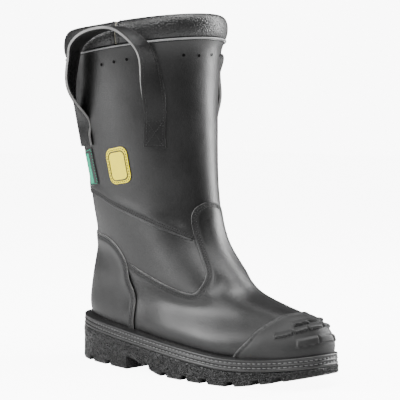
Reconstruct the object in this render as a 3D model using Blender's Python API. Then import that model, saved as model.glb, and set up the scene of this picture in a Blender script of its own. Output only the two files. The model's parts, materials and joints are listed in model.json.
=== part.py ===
"""Pull-on fire boot for the right foot, standing on its sole.

The toe points along +X, the wearer's left along +Y and the leg along +Z. The origin lies on
the ground under the middle of the heel. Every layer of the upper is an inset of one surface,
which is lofted through the sections of the last below.
"""

import math

import bmesh
import bpy
import numpy as np

MM = 0.001

# Overall sizes of the upper. The last below is drawn for the same values.
UPPER_LENGTH = 303 * MM
UPPER_WIDTH = 102 * MM
SHAFT_HEIGHT = 301 * MM
HEEL_SEAT_HEIGHT = 43 * MM
HEEL_DROP = 22 * MM
TOE_RISE = 13.5 * MM

# Sole.
WELT_PROJECTION = 9 * MM
WELT_HEIGHT = 12.7 * MM
WELT_MARGIN = 12 * MM
HEEL_BLOCK_LENGTH = 102 * MM
ARCH_CLEARANCE = 13 * MM
ARCH_LENGTH = 62 * MM
TREAD_DEPTH = 5 * MM
CENTRE_TREAD_DEPTH = 3.5 * MM
GROOVE_WIDTH = 7.5 * MM
LUG_LENGTH = 26 * MM
TOE_SPRING = 14 * MM
# Middles of the side grooves, in mm from the back of the last.
SIDE_GROOVES = (128, 156, 186, 213, 243, 269, 289)

# Inner sole pieces.
PLATE_THICKNESS = 0.8 * MM
SHANK_THICKNESS = 1.6 * MM
SHANK_LENGTH = 105 * MM
SHANK_WIDTH = 24 * MM
BOARD_THICKNESS = 2.3 * MM
FOOTBED_THICKNESS = 5 * MM
FOOTBED_CLEARANCE = 1.2 * MM

# Walls of the upper, from the outside in.
RUBBER_THICKNESS = 3 * MM
LEATHER_THICKNESS = 2.2 * MM
PADDING_THICKNESS = 2.4 * MM
STEEL_CAP_THICKNESS = 1.8 * MM
COUNTER_THICKNESS = 1.5 * MM
LINING_THICKNESS = 2.5 * MM
PATCH_THICKNESS = 1.2 * MM
GAP = 0.3 * MM
WALL_GAP = 0.55 * MM

# Collar.
COLLAR_HEIGHT = 27 * MM
COLLAR_BULGE = 4 * MM
COLLAR_COVER_THICKNESS = 1.4 * MM
PIPING_RADIUS = 1.5 * MM
COLLAR_SEAM_STATION = 105

# Pull straps. The stations are in mm from the back of the last, and the spreads are half a
# tab's width in the side view, as shares of the strap's width.
STRAP_WIDTH = 23 * MM
STRAP_THICKNESS = 3.4 * MM
TAB_HEIGHT = 29 * MM
TAB_TOP = 222 * MM
OUTER_FRONT_TAB_STATION = 138
INNER_FRONT_TAB_STATION = 116
REAR_TAB_STATION = 46
OUTER_FRONT_TAB_SPREAD = 0.39
INNER_FRONT_TAB_SPREAD = 0.47
REAR_TAB_SPREAD = 0.46

VENT_RADIUS = 1.6 * MM

# The last, in mm: x from the back of the heel, z above the heel seat. Each row is a closed
# ring: back x, back z, front x, front z, half width at the back, half width at the front.
LAST_ROWS = (
    (1.5, 0, 309, -9, 39.5, 51),
    (-3, 15, 311, 7, 40, 52),
    (-2, 35, 291, 26, 39, 40),
    (2, 55, 238, 40, 38.5, 44),
    (7, 77, 212, 59, 39, 46.5),
    (10, 102, 185, 89, 43, 48.5),
    (8.5, 129, 170, 129, 50, 51.5),
    (5, 167, 163, 175, 57.5, 58),
    (-2, 215, 159.5, 227, 66, 65),
    (-10, 262, 159.5, 279, 74, 71),
    (-15, 276, 165, 301, 77, 75.5),
)
LAST_LENGTH = 303
LAST_WIDTH = 102
LAST_SHAFT_HEIGHT = 301
ANKLE_HEIGHT = 102
HEEL_CENTRE_X = 44
HEEL_SEAT_X = 69
BALL_X = 310
COLUMNS = 32
LEVELS = (0, 0.5, 1, 1.5, 2, 2.5, 3, 3.5, 4, 4.5, 5, 5.5, 6, 6.7, 7.4, 8.2, 9, 9.5, 9.9)
PADDING_LEVELS = LEVELS[9:]

# Seams of the leather panels, in the last's side view: x, z in mm.
SHAFT_SEAM = ((-60, 142), (-10, 141), (39, 137), (73, 130), (101, 123), (128, 114), (149, 105), (171, 93))
VAMP_TOP = ((260, 135), (169, 135), (166, 131), (164.5, 125), (164, 117), (166, 103))
VAMP_WING = ((178, 80), (187, 65), (191, 56), (190, 50), (184, 46.5), (165, 49), (141, 58), (111, 66.5))
HEEL_SEAM = ((90, 70), (82, 78), (72, 86), (52, 93), (36, 97), (-10, 100), (-60, 100))
HEEL_SEAM_FOOT = ((102, -30), (98, 5), (94.5, 30), (93, 55))
SCUFF_EDGE = ((243, -30), (243, -11), (249, -5), (256, 3), (263, 14), (269, 23), (276, 31), (284, 39), (286, 70))
STEEL_CAP_BACK_X = 262
COUNTER_FRONT_X = 74
COUNTER_TOP = 52
BADGE_CENTRE = (95, 168)
BADGE_SIZE = (34, 42)
LABEL_BOX = (14, 55, 147, 187)

# Vent holes near the top of the shaft: x, y, z on the outer side, in mm.
SIDE_VENTS = ((86, -73, 278), (99, -70, 279), (112, -65, 280))
FRONT_VENTS = ((154, -24, 284), (159, -10, 285), (159, 8, 285), (156, 20, 284))

# Inner edge of each loop: x, distance out from the middle, z in mm, and the direction from
# the outer edge to the inner edge, in degrees inwards from +X. The rows are drawn to clear a
# collar and a strap of the two sizes below them.
OUTER_LOOP = (
    (148, 40.2, 224, 38),
    (147.5, 43.5, 238, 50),
    (145.5, 47, 258, 68),
    (143, 51, 278, 85),
    (141, 61.5, 294, 90),
    (128, 73, 308, 92),
    (110, 79.5, 310.5, 92),
    (87, 84, 304.5, 94),
    (66, 82.5, 293, 103),
    (54, 77.5, 279, 110),
    (41, 71, 248, 122),
    (34.5, 65.5, 233, 138),
    (34, 59.3, 224, 156),
)
INNER_LOOP = (
    (127, 57.6, 224, 20),
    (126.5, 60.5, 238, 26),
    (121, 65.5, 256, 38),
    (112, 72.5, 272, 54),
    (99, 78, 283, 76),
    (84, 82, 286, 88),
    (68, 81, 283, 97),
    (55, 78.5, 274, 105),
    (42, 71.5, 254, 122),
    (35, 64, 234, 142),
    (34.5, 59.8, 224, 156),
)
LOOP_STEPS = 3
LOOP_COLLAR_BULGE = 4 * MM
LOOP_STRAP_THICKNESS = 3.4 * MM

BLACK_LEATHER = ((0.012, 0.012, 0.013, 1), 0.38, 0)
PEBBLED_LEATHER = ((0.016, 0.016, 0.017, 1), 0.45, 0)
BLACK_RUBBER = ((0.02, 0.02, 0.02, 1), 0.75, 0)
GREY_PIPING = ((0.45, 0.45, 0.46, 1), 0.5, 0)
STEEL = ((0.55, 0.56, 0.58, 1), 0.35, 1)
FOAM = ((0.55, 0.5, 0.38, 1), 0.9, 0)
BOARD = ((0.35, 0.22, 0.12, 1), 0.85, 0)
LINING_CLOTH = ((0.10, 0.10, 0.11, 1), 0.95, 0)
YELLOW = ((0.85, 0.72, 0.03, 1), 0.5, 0)
GREEN = ((0.05, 0.28, 0.22, 1), 0.5, 0)


def place_x(x):
    """World x of a distance in mm from the back of the last."""
    return (np.asarray(x, float) - HEEL_CENTRE_X) * UPPER_LENGTH / LAST_LENGTH


def place_y(y):
    """World y of a distance in mm from the middle of the last."""
    return np.asarray(y, float) * UPPER_WIDTH / LAST_WIDTH


def place_z(z):
    """World z of a height in mm above the heel seat, where only the shaft grows with its height."""
    z = np.asarray(z, float)
    growth = (SHAFT_HEIGHT - ANKLE_HEIGHT * MM) / (LAST_SHAFT_HEIGHT - ANKLE_HEIGHT)
    low = np.minimum(z, ANKLE_HEIGHT) * MM
    high = np.maximum(z - ANKLE_HEIGHT, 0) * growth
    return HEEL_SEAT_HEIGHT + low + high


def curve_through(rows, at):
    """Smooth value at a fractional row number."""
    rows = np.asarray(rows, float)
    last = len(rows) - 1
    i = int(min(max(math.floor(at), 0), last - 1))
    t = at - i
    before = rows[max(i - 1, 0)]
    after = rows[min(i + 2, last)]
    slope = after - rows[i]
    near = rows[i + 1] - before
    step = rows[i + 1] - rows[i]
    return (
        rows[i]
        + t * near / 2
        + t**2 * (3 * step - near - slope / 2)
        + t**3 * (near / 2 + slope / 2 - 2 * step)
    )


def smooth(t):
    t = np.clip(t, 0, 1)
    return t * t * (3 - 2 * t)


def sole_top(x):
    """Height of the sole's top, where the upper stands, at a world x."""
    mm_x = np.asarray(x) * LAST_LENGTH / UPPER_LENGTH + HEEL_CENTRE_X
    drop = HEEL_DROP * (mm_x - HEEL_SEAT_X) / (BALL_X - HEEL_SEAT_X)
    toe_rise = TOE_RISE * np.clip((mm_x - 225) / 91, 0, 1.1) ** 1.6
    return HEEL_SEAT_HEIGHT - drop + toe_rise


def collar_seat(x):
    """Height of the slanted top edge of the shaft at a world x."""
    back = LAST_ROWS[-1][:2]
    front = LAST_ROWS[-1][2:4]
    t = (x - place_x(back[0])) / (place_x(front[0]) - place_x(back[0]))
    return place_z(back[1]) + (place_z(front[1]) - place_z(back[1])) * t


def last_ring(level, columns=COLUMNS):
    """Closed ring of the last's outer surface at a fractional row number."""
    back_x, back_z, front_x, front_z, back_half, front_half = curve_through(LAST_ROWS, level)
    angle = np.linspace(0, 2 * math.pi, columns, endpoint=False)
    fullness = 2 / (2 + 0.5 * max(1 - level / 4, 0))
    cos = np.sign(np.cos(angle)) * np.abs(np.cos(angle)) ** fullness
    sin = np.sign(np.sin(angle)) * np.abs(np.sin(angle)) ** fullness
    forward = (1 + cos) / 2
    x = back_x + (front_x - back_x) * forward
    foot = max(1 - level / 3, 0)
    half = back_half + (front_half - back_half) * smooth((forward - 0.15) / 0.6)
    waist = 6 * np.exp(-(((x - 135) / 38) ** 2)) * foot * (sin > 0)
    inflare = 11 * np.clip((x - 170) / 140, 0, 1.2) ** 2 * min(max(1 - (level - 4) / 2, 0), 1)
    y = inflare + (half - waist) * sin
    z = place_z(back_z + (front_z - back_z) * forward)
    seat_line = place_z(-9 * (x - 6) / LAST_LENGTH)
    world_x = place_x(x)
    return np.stack([world_x, place_y(y), z + foot * (sole_top(world_x) - seat_line)], 1)


def outward(level):
    """Unit normals of the last's surface at a ring."""
    step = 0.02
    ring = last_ring(level)
    around = np.roll(ring, -1, 0) - np.roll(ring, 1, 0)
    top = len(LAST_ROWS) - 1
    rise = last_ring(min(level + step, top)) - last_ring(max(level - step, 0))
    normal = np.cross(around, rise)
    return normal / np.linalg.norm(normal, axis=1)[:, None]


def wall_ring(level, inset):
    """Ring of the surface at a depth inside the last's surface, trimmed at the sole and the collar."""
    ring = last_ring(level) - outward(level) * inset
    if level == LEVELS[0]:
        ring[:, 2] = sole_top(ring[:, 0]) + GAP
    if level == LEVELS[-1]:
        ring[:, 2] = collar_seat(ring[:, 0]) - PIPING_RADIUS - GAP
    return ring


def level_outline(ring, offset):
    """Ring moved outwards in the horizontal plane."""
    along = np.roll(ring, -1, 0) - np.roll(ring, 1, 0)
    normal = np.stack([along[:, 1], -along[:, 0], np.zeros(len(ring))], 1)
    return ring + normal / np.linalg.norm(normal, axis=1)[:, None] * offset


def material(name, look):
    colour, roughness, metallic = look
    made = bpy.data.materials.new(name)
    made.use_nodes = True
    shader = made.node_tree.nodes["Principled BSDF"]
    shader.inputs["Base Color"].default_value = colour
    shader.inputs["Roughness"].default_value = roughness
    shader.inputs["Metallic"].default_value = metallic
    return made


def new_object(name, points, faces, collection, look=None):
    """Object with outward normals from points in metres and faces."""
    mesh = bpy.data.meshes.new(name)
    mesh.from_pydata([tuple(map(float, point)) for point in points], [], faces)
    built = bmesh.new()
    built.from_mesh(mesh)
    bmesh.ops.recalc_face_normals(built, faces=built.faces)
    built.to_mesh(mesh)
    built.free()
    obj = bpy.data.objects.new(name, mesh)
    collection.objects.link(obj)
    if look:
        mesh.materials.append(material(name, look))
        mesh.shade_smooth()
        mesh.set_sharp_from_angle(angle=math.radians(40))
    return obj


def ring_loft(name, rings, look, collection=None):
    """Tube-like solid through rings that follow one another round a closed profile."""
    rings = np.asarray(rings)
    count, around = rings.shape[:2]
    faces = []
    for i in range(count):
        for j in range(around):
            far_i = (i + 1) % count
            far_j = (j + 1) % around
            faces.append((i * around + j, i * around + far_j, far_i * around + far_j, far_i * around + j))
    return new_object(name, rings.reshape(-1, 3), faces, collection or PARTS, look)


def bar_loft(name, sections, look, collection=None):
    """Solid through sections with the same number of corners, closed by a face at each end."""
    sections = np.asarray(sections)
    count, around = sections.shape[:2]
    faces = [tuple(range(around)), tuple(range((count - 1) * around, count * around))]
    for i in range(count - 1):
        for j in range(around):
            far_j = (j + 1) % around
            near = i * around
            far = near + around
            faces.append((near + j, near + far_j, far + far_j, far + j))
    return new_object(name, sections.reshape(-1, 3), faces, collection or PARTS, look)


def wall(name, outer, inner, look, levels=LEVELS, collection=None):
    """Band of the upper between two depths."""
    rings = [wall_ring(level, outer) for level in levels]
    rings += [wall_ring(level, inner) for level in reversed(levels)]
    return ring_loft(name, rings, look, collection)


def side_prism(name, outline, near_y, far_y):
    """Cutter with an outline in the side view: world x, world z."""
    sections = [[(x, y, z) for x, z in outline] for y in (near_y, far_y)]
    return bar_loft(name, sections, None, CUTTERS)


def box(name, low, high):
    corners = [(low[0], low[2]), (high[0], low[2]), (high[0], high[2]), (low[0], high[2])]
    return side_prism(name, corners, low[1], high[1])


def cut(obj, cutter, operation="DIFFERENCE"):
    modifier = obj.modifiers.new(cutter.name, "BOOLEAN")
    modifier.operation = operation
    modifier.object = cutter
    modifier.solver = "EXACT"


def side_outline(points):
    """Outline of the last's side view in world x and z."""
    return [(float(place_x(x)), float(place_z(z))) for x, z in points]


def shrunk(outline, amount):
    """Outline moved inwards by an amount on every side."""
    points = np.array(outline)
    area = np.sum(points[:, 0] * np.roll(points[:, 1], -1) - np.roll(points[:, 0], -1) * points[:, 1])
    turn = math.copysign(1, area)
    before = points - np.roll(points, 1, 0)
    after = np.roll(points, -1, 0) - points
    before /= np.linalg.norm(before, axis=1)[:, None]
    after /= np.linalg.norm(after, axis=1)[:, None]
    inward = turn * np.stack([-(before + after)[:, 1], (before + after)[:, 0]], 1)
    scale = 1 + np.sum(before * after, axis=1)
    return points + inward / scale[:, None] * amount


def panel(name, outline, outer, inner, look, near_y=-0.2, far_y=0.2):
    """Part of the upper's wall inside an outline of the side view."""
    made = wall(name, outer, inner, look)
    cut(made, side_prism(name + "_outline", outline, near_y, far_y), "INTERSECT")
    return made


def sole_slab(name, offset, bottom, top, look, start=None, end=None, half_width=None, stations=26):
    """Slab under the foot, from an outline offset from the upper's edge and two height functions."""
    edge = level_outline(last_ring(0), offset)
    half = COLUMNS // 2
    left = edge[: half + 1][::-1]
    right = np.concatenate([edge[half:], edge[:1]])
    first = left[0, 0] if start is None else start
    final = left[-1, 0] if end is None else end
    sections = []
    for turn in np.linspace(0.07, math.pi - 0.07, stations):
        x = first + (final - first) * (1 - math.cos(turn)) / 2
        high_y = np.interp(x, left[:, 0], left[:, 1])
        low_y = np.interp(x, right[:, 0], right[:, 1])
        if half_width:
            middle = (high_y + low_y) / 2
            high_y = middle + half_width
            low_y = middle - half_width
        low_z = bottom(x)
        high_z = top(x)
        sections.append([(x, low_y, low_z), (x, high_y, low_z), (x, high_y, high_z), (x, low_y, high_z)])
    return bar_loft(name, sections, look)


def below_seat(depth):
    return lambda x: float(sole_top(x)) - depth


def above_seat(height):
    return lambda x: float(sole_top(x)) + height


def tread_height(x):
    """Underside of the tread: flat on the ground, with a rise at the toe."""
    toe = float(place_x(318))
    start = float(place_x(240))
    return TOE_SPRING * max((x - start) / (toe - start), 0) ** 1.3


def arch_line(x):
    """Underside of the lugs between the heel's front face and the ball."""
    start = heel_front()
    t = min(max((x - start) / ARCH_LENGTH, 0), 1)
    return ARCH_CLEARANCE * (1 - smooth(t)) + tread_height(x)


def heel_front():
    return float(place_x(LAST_ROWS[0][0])) - WELT_PROJECTION + HEEL_BLOCK_LENGTH


def make_outsole():
    under = -0.02
    outsole = sole_slab("outsole", WELT_PROJECTION, tread_height, below_seat(WELT_HEIGHT + GAP), BLACK_RUBBER)
    start = heel_front()
    arch = [(start, under), (start, ARCH_CLEARANCE)]
    for step in range(1, 9):
        x = start + ARCH_LENGTH * step / 8
        arch.append((x, arch_line(x)))
    arch.append((start + ARCH_LENGTH, under))
    cut(outsole, side_prism("arch_cut", arch, -0.2, 0.2))
    toe_x = float(place_x(309)) + WELT_PROJECTION
    outer_reach = 0.2
    stations = [float(place_x(station)) for station in SIDE_GROOVES]
    for i, x in enumerate(stations):
        top = arch_line(x) + TREAD_DEPTH
        middle = float(np.mean([last_y(x, 1), last_y(x, -1)]))
        for side in (1, -1):
            inner = last_y(x, side) + side * (WELT_PROJECTION - LUG_LENGTH)
            ends = sorted((inner, side * outer_reach))
            low = (x - GROOVE_WIDTH / 2, ends[0], under)
            cut(outsole, box(f"side_groove_{i}_{side}", low, (x + GROOVE_WIDTH / 2, ends[1], top)))
        x = (x + (stations + [toe_x])[i + 1]) / 2
        if x < start + ARCH_LENGTH or x > toe_x - LUG_LENGTH:
            continue
        reach = (last_y(x, 1) - last_y(x, -1)) / 2 + WELT_PROJECTION - LUG_LENGTH - GROOVE_WIDTH / 2
        low = (x - GROOVE_WIDTH / 2, middle - reach, under)
        high = (x + GROOVE_WIDTH / 2, middle + reach, tread_height(x) + CENTRE_TREAD_DEPTH)
        cut(outsole, box(f"centre_groove_{i}", low, high))
    for i, share in enumerate((0.35, 0.67)):
        x = start - HEEL_BLOCK_LENGTH * (1 - share)
        for side in (1, -1):
            inner = last_y(x, side) + side * (WELT_PROJECTION - LUG_LENGTH * 0.6)
            ends = sorted((inner, side * outer_reach))
            low = (x - GROOVE_WIDTH / 2, ends[0], under)
            high = (x + GROOVE_WIDTH / 2, ends[1], TREAD_DEPTH)
            cut(outsole, box(f"heel_groove_{i}_{side}", low, high))
    return outsole


def last_y(x, side):
    """World y of the upper's lower edge at a world x, on the left (1) or the right (-1)."""
    edge = last_ring(0)
    half = COLUMNS // 2
    rows = edge[: half + 1][::-1] if side > 0 else np.concatenate([edge[half:], edge[:1]])
    return float(np.interp(x, rows[:, 0], rows[:, 1]))


def make_sole():
    make_outsole()
    feather = last_ring(0)
    feather[:, 2] = sole_top(feather[:, 0])
    bead = 0.8 * MM
    profile = (
        (WELT_PROJECTION - bead, -WELT_HEIGHT),
        (WELT_PROJECTION, -0.65 * WELT_HEIGHT),
        (WELT_PROJECTION - bead, -0.45 * WELT_HEIGHT),
        (WELT_PROJECTION, -0.2 * WELT_HEIGHT),
        (WELT_PROJECTION - bead, 0),
        (-WELT_MARGIN, 0),
        (-WELT_MARGIN, -WELT_HEIGHT),
    )
    rings = []
    for out, rise in profile:
        ring = level_outline(feather, out)
        ring[:, 2] = sole_top(ring[:, 0]) + rise
        rings.append(ring)
    ring_loft("welt_strip", rings, BLACK_RUBBER)
    hole = -WELT_MARGIN - GAP
    plate_bottom = GAP + PLATE_THICKNESS
    shank_bottom = plate_bottom + GAP + SHANK_THICKNESS
    sole_slab("midsole", hole, below_seat(WELT_HEIGHT), below_seat(shank_bottom + GAP), FOAM)
    middle = float(place_x(125))
    ends = (middle - SHANK_LENGTH / 2, middle + SHANK_LENGTH / 2)
    sole_slab(
        "shank", hole, below_seat(shank_bottom), below_seat(plate_bottom + GAP), STEEL,
        start=ends[0], end=ends[1], half_width=SHANK_WIDTH / 2, stations=10,
    )
    sole_slab("puncture_plate", hole, below_seat(plate_bottom), below_seat(GAP), STEEL)
    board_edge = -(LINING_INSET + LINING_THICKNESS) - 2 * GAP
    board_top = WALL_GAP + BOARD_THICKNESS
    sole_slab("insole_board", board_edge, above_seat(WALL_GAP), above_seat(board_top), BOARD)
    footbed_edge = board_edge - FOOTBED_CLEARANCE
    footbed_top = board_top + GAP + FOOTBED_THICKNESS
    sole_slab("footbed", footbed_edge, above_seat(board_top + GAP), above_seat(footbed_top), FOAM)


def make_leather():
    thickness = LEATHER_THICKNESS
    heel_top = side_outline(HEEL_SEAM)
    heel_foot = side_outline(HEEL_SEAM_FOOT)
    wing = side_outline(VAMP_WING)
    crown = side_outline(VAMP_TOP)
    seam = side_outline(SHAFT_SEAM)
    low = float(place_z(-60))
    high = float(place_z(360))
    back = float(place_x(-60))
    front = float(place_x(360))
    vamp = crown + seam[-1:] + wing + heel_top[:1] + heel_foot[::-1] + [(front, low), (front, crown[0][1])]
    heel = heel_foot + heel_top + [(back, low)]
    quarter = seam + wing + heel_top
    shaft = crown + seam[::-1] + [(back, high), (crown[0][0], high)]
    outlines = {"vamp": vamp, "heel_patch": heel, "quarter": quarter, "shaft_leather": shaft}
    made = {}
    for name, outline in outlines.items():
        made[name] = panel(name, shrunk(outline, GAP / 2), 0, thickness, BLACK_LEATHER)
    vents = []
    for x, y, z in SIDE_VENTS + tuple((x, -y, z) for x, y, z in SIDE_VENTS) + FRONT_VENTS:
        vents.append((float(place_x(x)), float(place_y(y)), float(place_z(z))))
    for i, spot in enumerate(vents):
        cut(made["shaft_leather"], vent_cutter(f"vent_{i}", spot))


def vent_cutter(name, spot):
    """Short cylinder through the leather, square to the shaft."""
    reach = 0.008
    centre = (float(place_x(76)), 0, spot[2])
    direction = np.array([(spot[0] - centre[0]) * 0.75, spot[1], 0])
    direction /= np.linalg.norm(direction)
    made = bmesh.new()
    bmesh.ops.create_cone(
        made, cap_ends=True, segments=10, radius1=VENT_RADIUS, radius2=VENT_RADIUS, depth=2 * reach
    )
    mesh = bpy.data.meshes.new(name)
    made.to_mesh(mesh)
    made.free()
    obj = bpy.data.objects.new(name, mesh)
    obj.location = spot
    obj.rotation_euler = (math.pi / 2, 0, math.atan2(direction[1], direction[0]) + math.pi / 2)
    CUTTERS.objects.link(obj)
    return obj


def make_inner_layers():
    middle = LEATHER_THICKNESS + WALL_GAP
    padding_inner = middle + PADDING_THICKNESS
    wall("shaft_padding", middle, padding_inner, FOAM, PADDING_LEVELS)
    wall("lining", LINING_INSET, LINING_INSET + LINING_THICKNESS, LINING_CLOTH)
    low = float(place_z(-60))
    cap_back = float(place_x(STEEL_CAP_BACK_X))
    cap_front = float(place_x(360))
    cap_top = float(place_z(80))
    outline = [(cap_back, low), (cap_front, low), (cap_front, cap_top), (cap_back, cap_top)]
    panel("safety_toe_cap", outline, middle, middle + STEEL_CAP_THICKNESS, STEEL)
    counter_front = float(place_x(COUNTER_FRONT_X))
    counter_top = float(place_z(COUNTER_TOP))
    back = float(place_x(-60))
    outline = [(back, low), (counter_front, low), (counter_front - 0.012, counter_top), (back, counter_top)]
    panel("heel_counter", outline, middle, middle + COUNTER_THICKNESS, BOARD)


def rounded_rectangle(centre, size, radius, steps=5):
    points = []
    for quarter in range(4):
        turn = quarter * math.pi / 2
        side_x = 1 if quarter in (0, 3) else -1
        side_z = 1 if quarter in (0, 1) else -1
        for step in range(steps):
            angle = turn + step / (steps - 1) * math.pi / 2
            x = centre[0] + side_x * (size[0] / 2 - radius) + radius * math.cos(angle)
            z = centre[1] + side_z * (size[1] / 2 - radius) + radius * math.sin(angle)
            points.append((x, z))
    return points


def make_patches():
    outer = -WALL_GAP - RUBBER_THICKNESS
    front = float(place_x(360))
    scuff = side_outline(SCUFF_EDGE)
    panel("toe_scuff_cap", scuff + [(front, scuff[-1][1]), (front, scuff[0][1])], outer, -WALL_GAP, BLACK_RUBBER)
    patch = -WALL_GAP - PATCH_THICKNESS
    badge = side_outline(rounded_rectangle(BADGE_CENTRE, BADGE_SIZE, 9))
    panel("side_badge", badge, patch, -WALL_GAP, YELLOW, far_y=0)
    left, right, low, high = LABEL_BOX
    label = side_outline(((left, low), (right, low), (right, high), (left, high)))
    panel("rear_label", label, patch, -WALL_GAP, GREEN, far_y=0)


def make_collar():
    seat = last_ring(len(LAST_ROWS) - 1)
    depth = LINING_INSET + LINING_THICKNESS
    middle = -depth / 2
    height = COLLAR_HEIGHT
    bulge = COLLAR_BULGE
    foot = PIPING_RADIUS + GAP
    outer = [
        (1.2 * MM, foot), (0.8 * bulge, 0.22 * height), (bulge, 0.48 * height), (0.8 * bulge, 0.74 * height),
        (0.1 * bulge, 0.93 * height), (middle, height), (-depth - 0.1 * bulge + 1.5 * MM, 0.93 * height),
        (-depth - 0.8 * MM, 0.74 * height), (-depth - 1.2 * MM, 0.45 * height), (-depth, foot),
    ]
    outer = np.array(outer)
    cover_inside = inset_profile(outer, COLLAR_COVER_THICKNESS)
    foam = inset_profile(outer, COLLAR_COVER_THICKNESS + GAP)
    foam[[0, -1], 1] = foot + GAP
    cover = [swept(seat, point) for point in np.concatenate([outer, cover_inside[::-1]])]
    seam = float(place_x(COLLAR_SEAM_STATION))
    ends = {"collar_front": (seam + GAP / 2, 0.5), "collar_rear": (-0.5, seam - GAP / 2)}
    for name, (low, high) in ends.items():
        made = ring_loft(name, cover, PEBBLED_LEATHER)
        cut(made, box(name + "_half", (low, -0.3, 0.1), (high, 0.3, 0.6)), "INTERSECT")
    ring_loft("collar_foam", [swept(seat, point) for point in foam], FOAM)
    cord = []
    for step in range(6):
        angle = step / 6 * 2 * math.pi + 0.3
        out = 0.6 * MM + PIPING_RADIUS * math.cos(angle)
        cord.append(swept(seat, (out, PIPING_RADIUS * math.sin(angle) - 0.1 * MM)))
    ring_loft("collar_piping", cord, GREY_PIPING)


def inset_profile(points, amount):
    """Open profile moved towards its inner side, with its two feet kept level."""
    along = np.gradient(points, axis=0)
    normal = np.stack([-along[:, 1], along[:, 0]], 1)
    moved = points + normal / np.linalg.norm(normal, axis=1)[:, None] * amount
    moved[0] = (points[0][0] - amount, points[0][1])
    moved[-1] = (points[-1][0] + amount, points[-1][1])
    return moved


def swept(ring, point):
    """Ring moved out and up by a point of a profile."""
    moved = level_outline(ring, point[0])
    moved[:, 2] = collar_seat(moved[:, 0]) + point[1]
    return moved


def make_tab(name, station, spread_share, side):
    """Sewn end of a pull strap, flat on the shaft."""
    centre_x = float(place_x(station))
    low = float(place_z(TAB_TOP / MM)) - TAB_HEIGHT
    spread = STRAP_WIDTH * spread_share
    outline = [
        (centre_x - spread, low), (centre_x + spread, low),
        (centre_x + spread, low + TAB_HEIGHT), (centre_x - spread, low + TAB_HEIGHT),
    ]
    sides = (-0.2, 0) if side < 0 else (0, 0.2)
    panel(name, outline, -WALL_GAP - STRAP_THICKNESS, -WALL_GAP, BLACK_LEATHER, *sides)


def make_loop(name, rows, side):
    """Strap loop: a flat band whose inner edge follows the rows."""
    rows = np.array(rows, float)
    steps = (len(rows) - 1) * LOOP_STEPS
    smooth_rows = np.array([curve_through(rows, step / LOOP_STEPS) for step in range(steps + 1)])
    spare = COLLAR_BULGE - LOOP_COLLAR_BULGE + (STRAP_THICKNESS - LOOP_STRAP_THICKNESS) / 2
    out = place_y(smooth_rows[:, 1]) + spare
    edge = np.stack([place_x(smooth_rows[:, 0]), side * out, place_z(smooth_rows[:, 2])], 1)
    angle = np.radians(smooth_rows[:, 3])
    across = np.stack([np.cos(angle), -side * np.sin(angle), np.zeros(len(angle))], 1)
    along = np.gradient(edge, axis=0)
    thick = np.cross(across, along)
    thick *= STRAP_THICKNESS / 2 / np.linalg.norm(thick, axis=1)[:, None]
    far_edge = edge - across * STRAP_WIDTH
    sections = np.stack([edge - thick, edge + thick, far_edge + thick, far_edge - thick], 1)
    made = bar_loft(name, sections, BLACK_LEATHER)
    return made


LINING_INSET = LEATHER_THICKNESS + PADDING_THICKNESS + 2 * WALL_GAP

for old in list(bpy.data.objects):
    bpy.data.objects.remove(old, do_unlink=True)
PARTS = bpy.data.collections.new("fire_boot")
CUTTERS = bpy.data.collections.new("cutters")
bpy.context.scene.collection.children.link(PARTS)
bpy.context.scene.collection.children.link(CUTTERS)

make_sole()
make_leather()
make_inner_layers()
make_patches()
make_collar()
make_tab("outer_strap_front_tab", OUTER_FRONT_TAB_STATION, OUTER_FRONT_TAB_SPREAD, -1)
make_tab("inner_strap_front_tab", INNER_FRONT_TAB_STATION, INNER_FRONT_TAB_SPREAD, 1)
for side, word, rows in ((-1, "outer", OUTER_LOOP), (1, "inner", INNER_LOOP)):
    make_tab(word + "_strap_rear_tab", REAR_TAB_STATION, REAR_TAB_SPREAD, side)
    make_loop(word + "_strap_loop", rows, side)
for cutter in CUTTERS.objects:
    cutter.hide_render = True
    cutter.display_type = "WIRE"
CUTTERS.hide_render = True
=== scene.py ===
import json
import math

import bmesh
import bpy
import numpy as np
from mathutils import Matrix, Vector, kdtree, noise
from mathutils.bvhtree import BVHTree
from mathutils.geometry import delaunay_2d_cdt

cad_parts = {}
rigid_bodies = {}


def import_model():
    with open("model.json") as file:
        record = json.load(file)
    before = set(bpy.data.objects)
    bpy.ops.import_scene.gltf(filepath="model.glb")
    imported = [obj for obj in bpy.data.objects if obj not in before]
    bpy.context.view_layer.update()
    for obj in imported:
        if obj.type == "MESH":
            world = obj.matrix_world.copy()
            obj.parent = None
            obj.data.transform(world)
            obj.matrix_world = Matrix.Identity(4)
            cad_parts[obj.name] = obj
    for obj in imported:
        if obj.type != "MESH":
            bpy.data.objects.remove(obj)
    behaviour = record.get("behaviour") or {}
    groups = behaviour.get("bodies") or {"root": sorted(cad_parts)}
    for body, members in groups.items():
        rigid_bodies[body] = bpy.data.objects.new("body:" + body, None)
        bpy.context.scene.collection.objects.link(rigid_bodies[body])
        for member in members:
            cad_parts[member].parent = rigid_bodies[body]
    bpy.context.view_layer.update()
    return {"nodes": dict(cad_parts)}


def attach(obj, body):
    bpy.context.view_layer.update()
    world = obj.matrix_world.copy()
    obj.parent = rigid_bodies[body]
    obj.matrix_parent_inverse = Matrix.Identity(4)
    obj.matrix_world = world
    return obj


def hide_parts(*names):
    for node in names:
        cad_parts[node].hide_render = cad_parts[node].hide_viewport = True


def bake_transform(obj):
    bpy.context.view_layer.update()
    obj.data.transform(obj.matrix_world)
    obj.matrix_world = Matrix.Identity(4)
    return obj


for leftover in list(bpy.data.objects):
    bpy.data.objects.remove(leftover, do_unlink=True)
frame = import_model()
mm = 0.001

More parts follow.
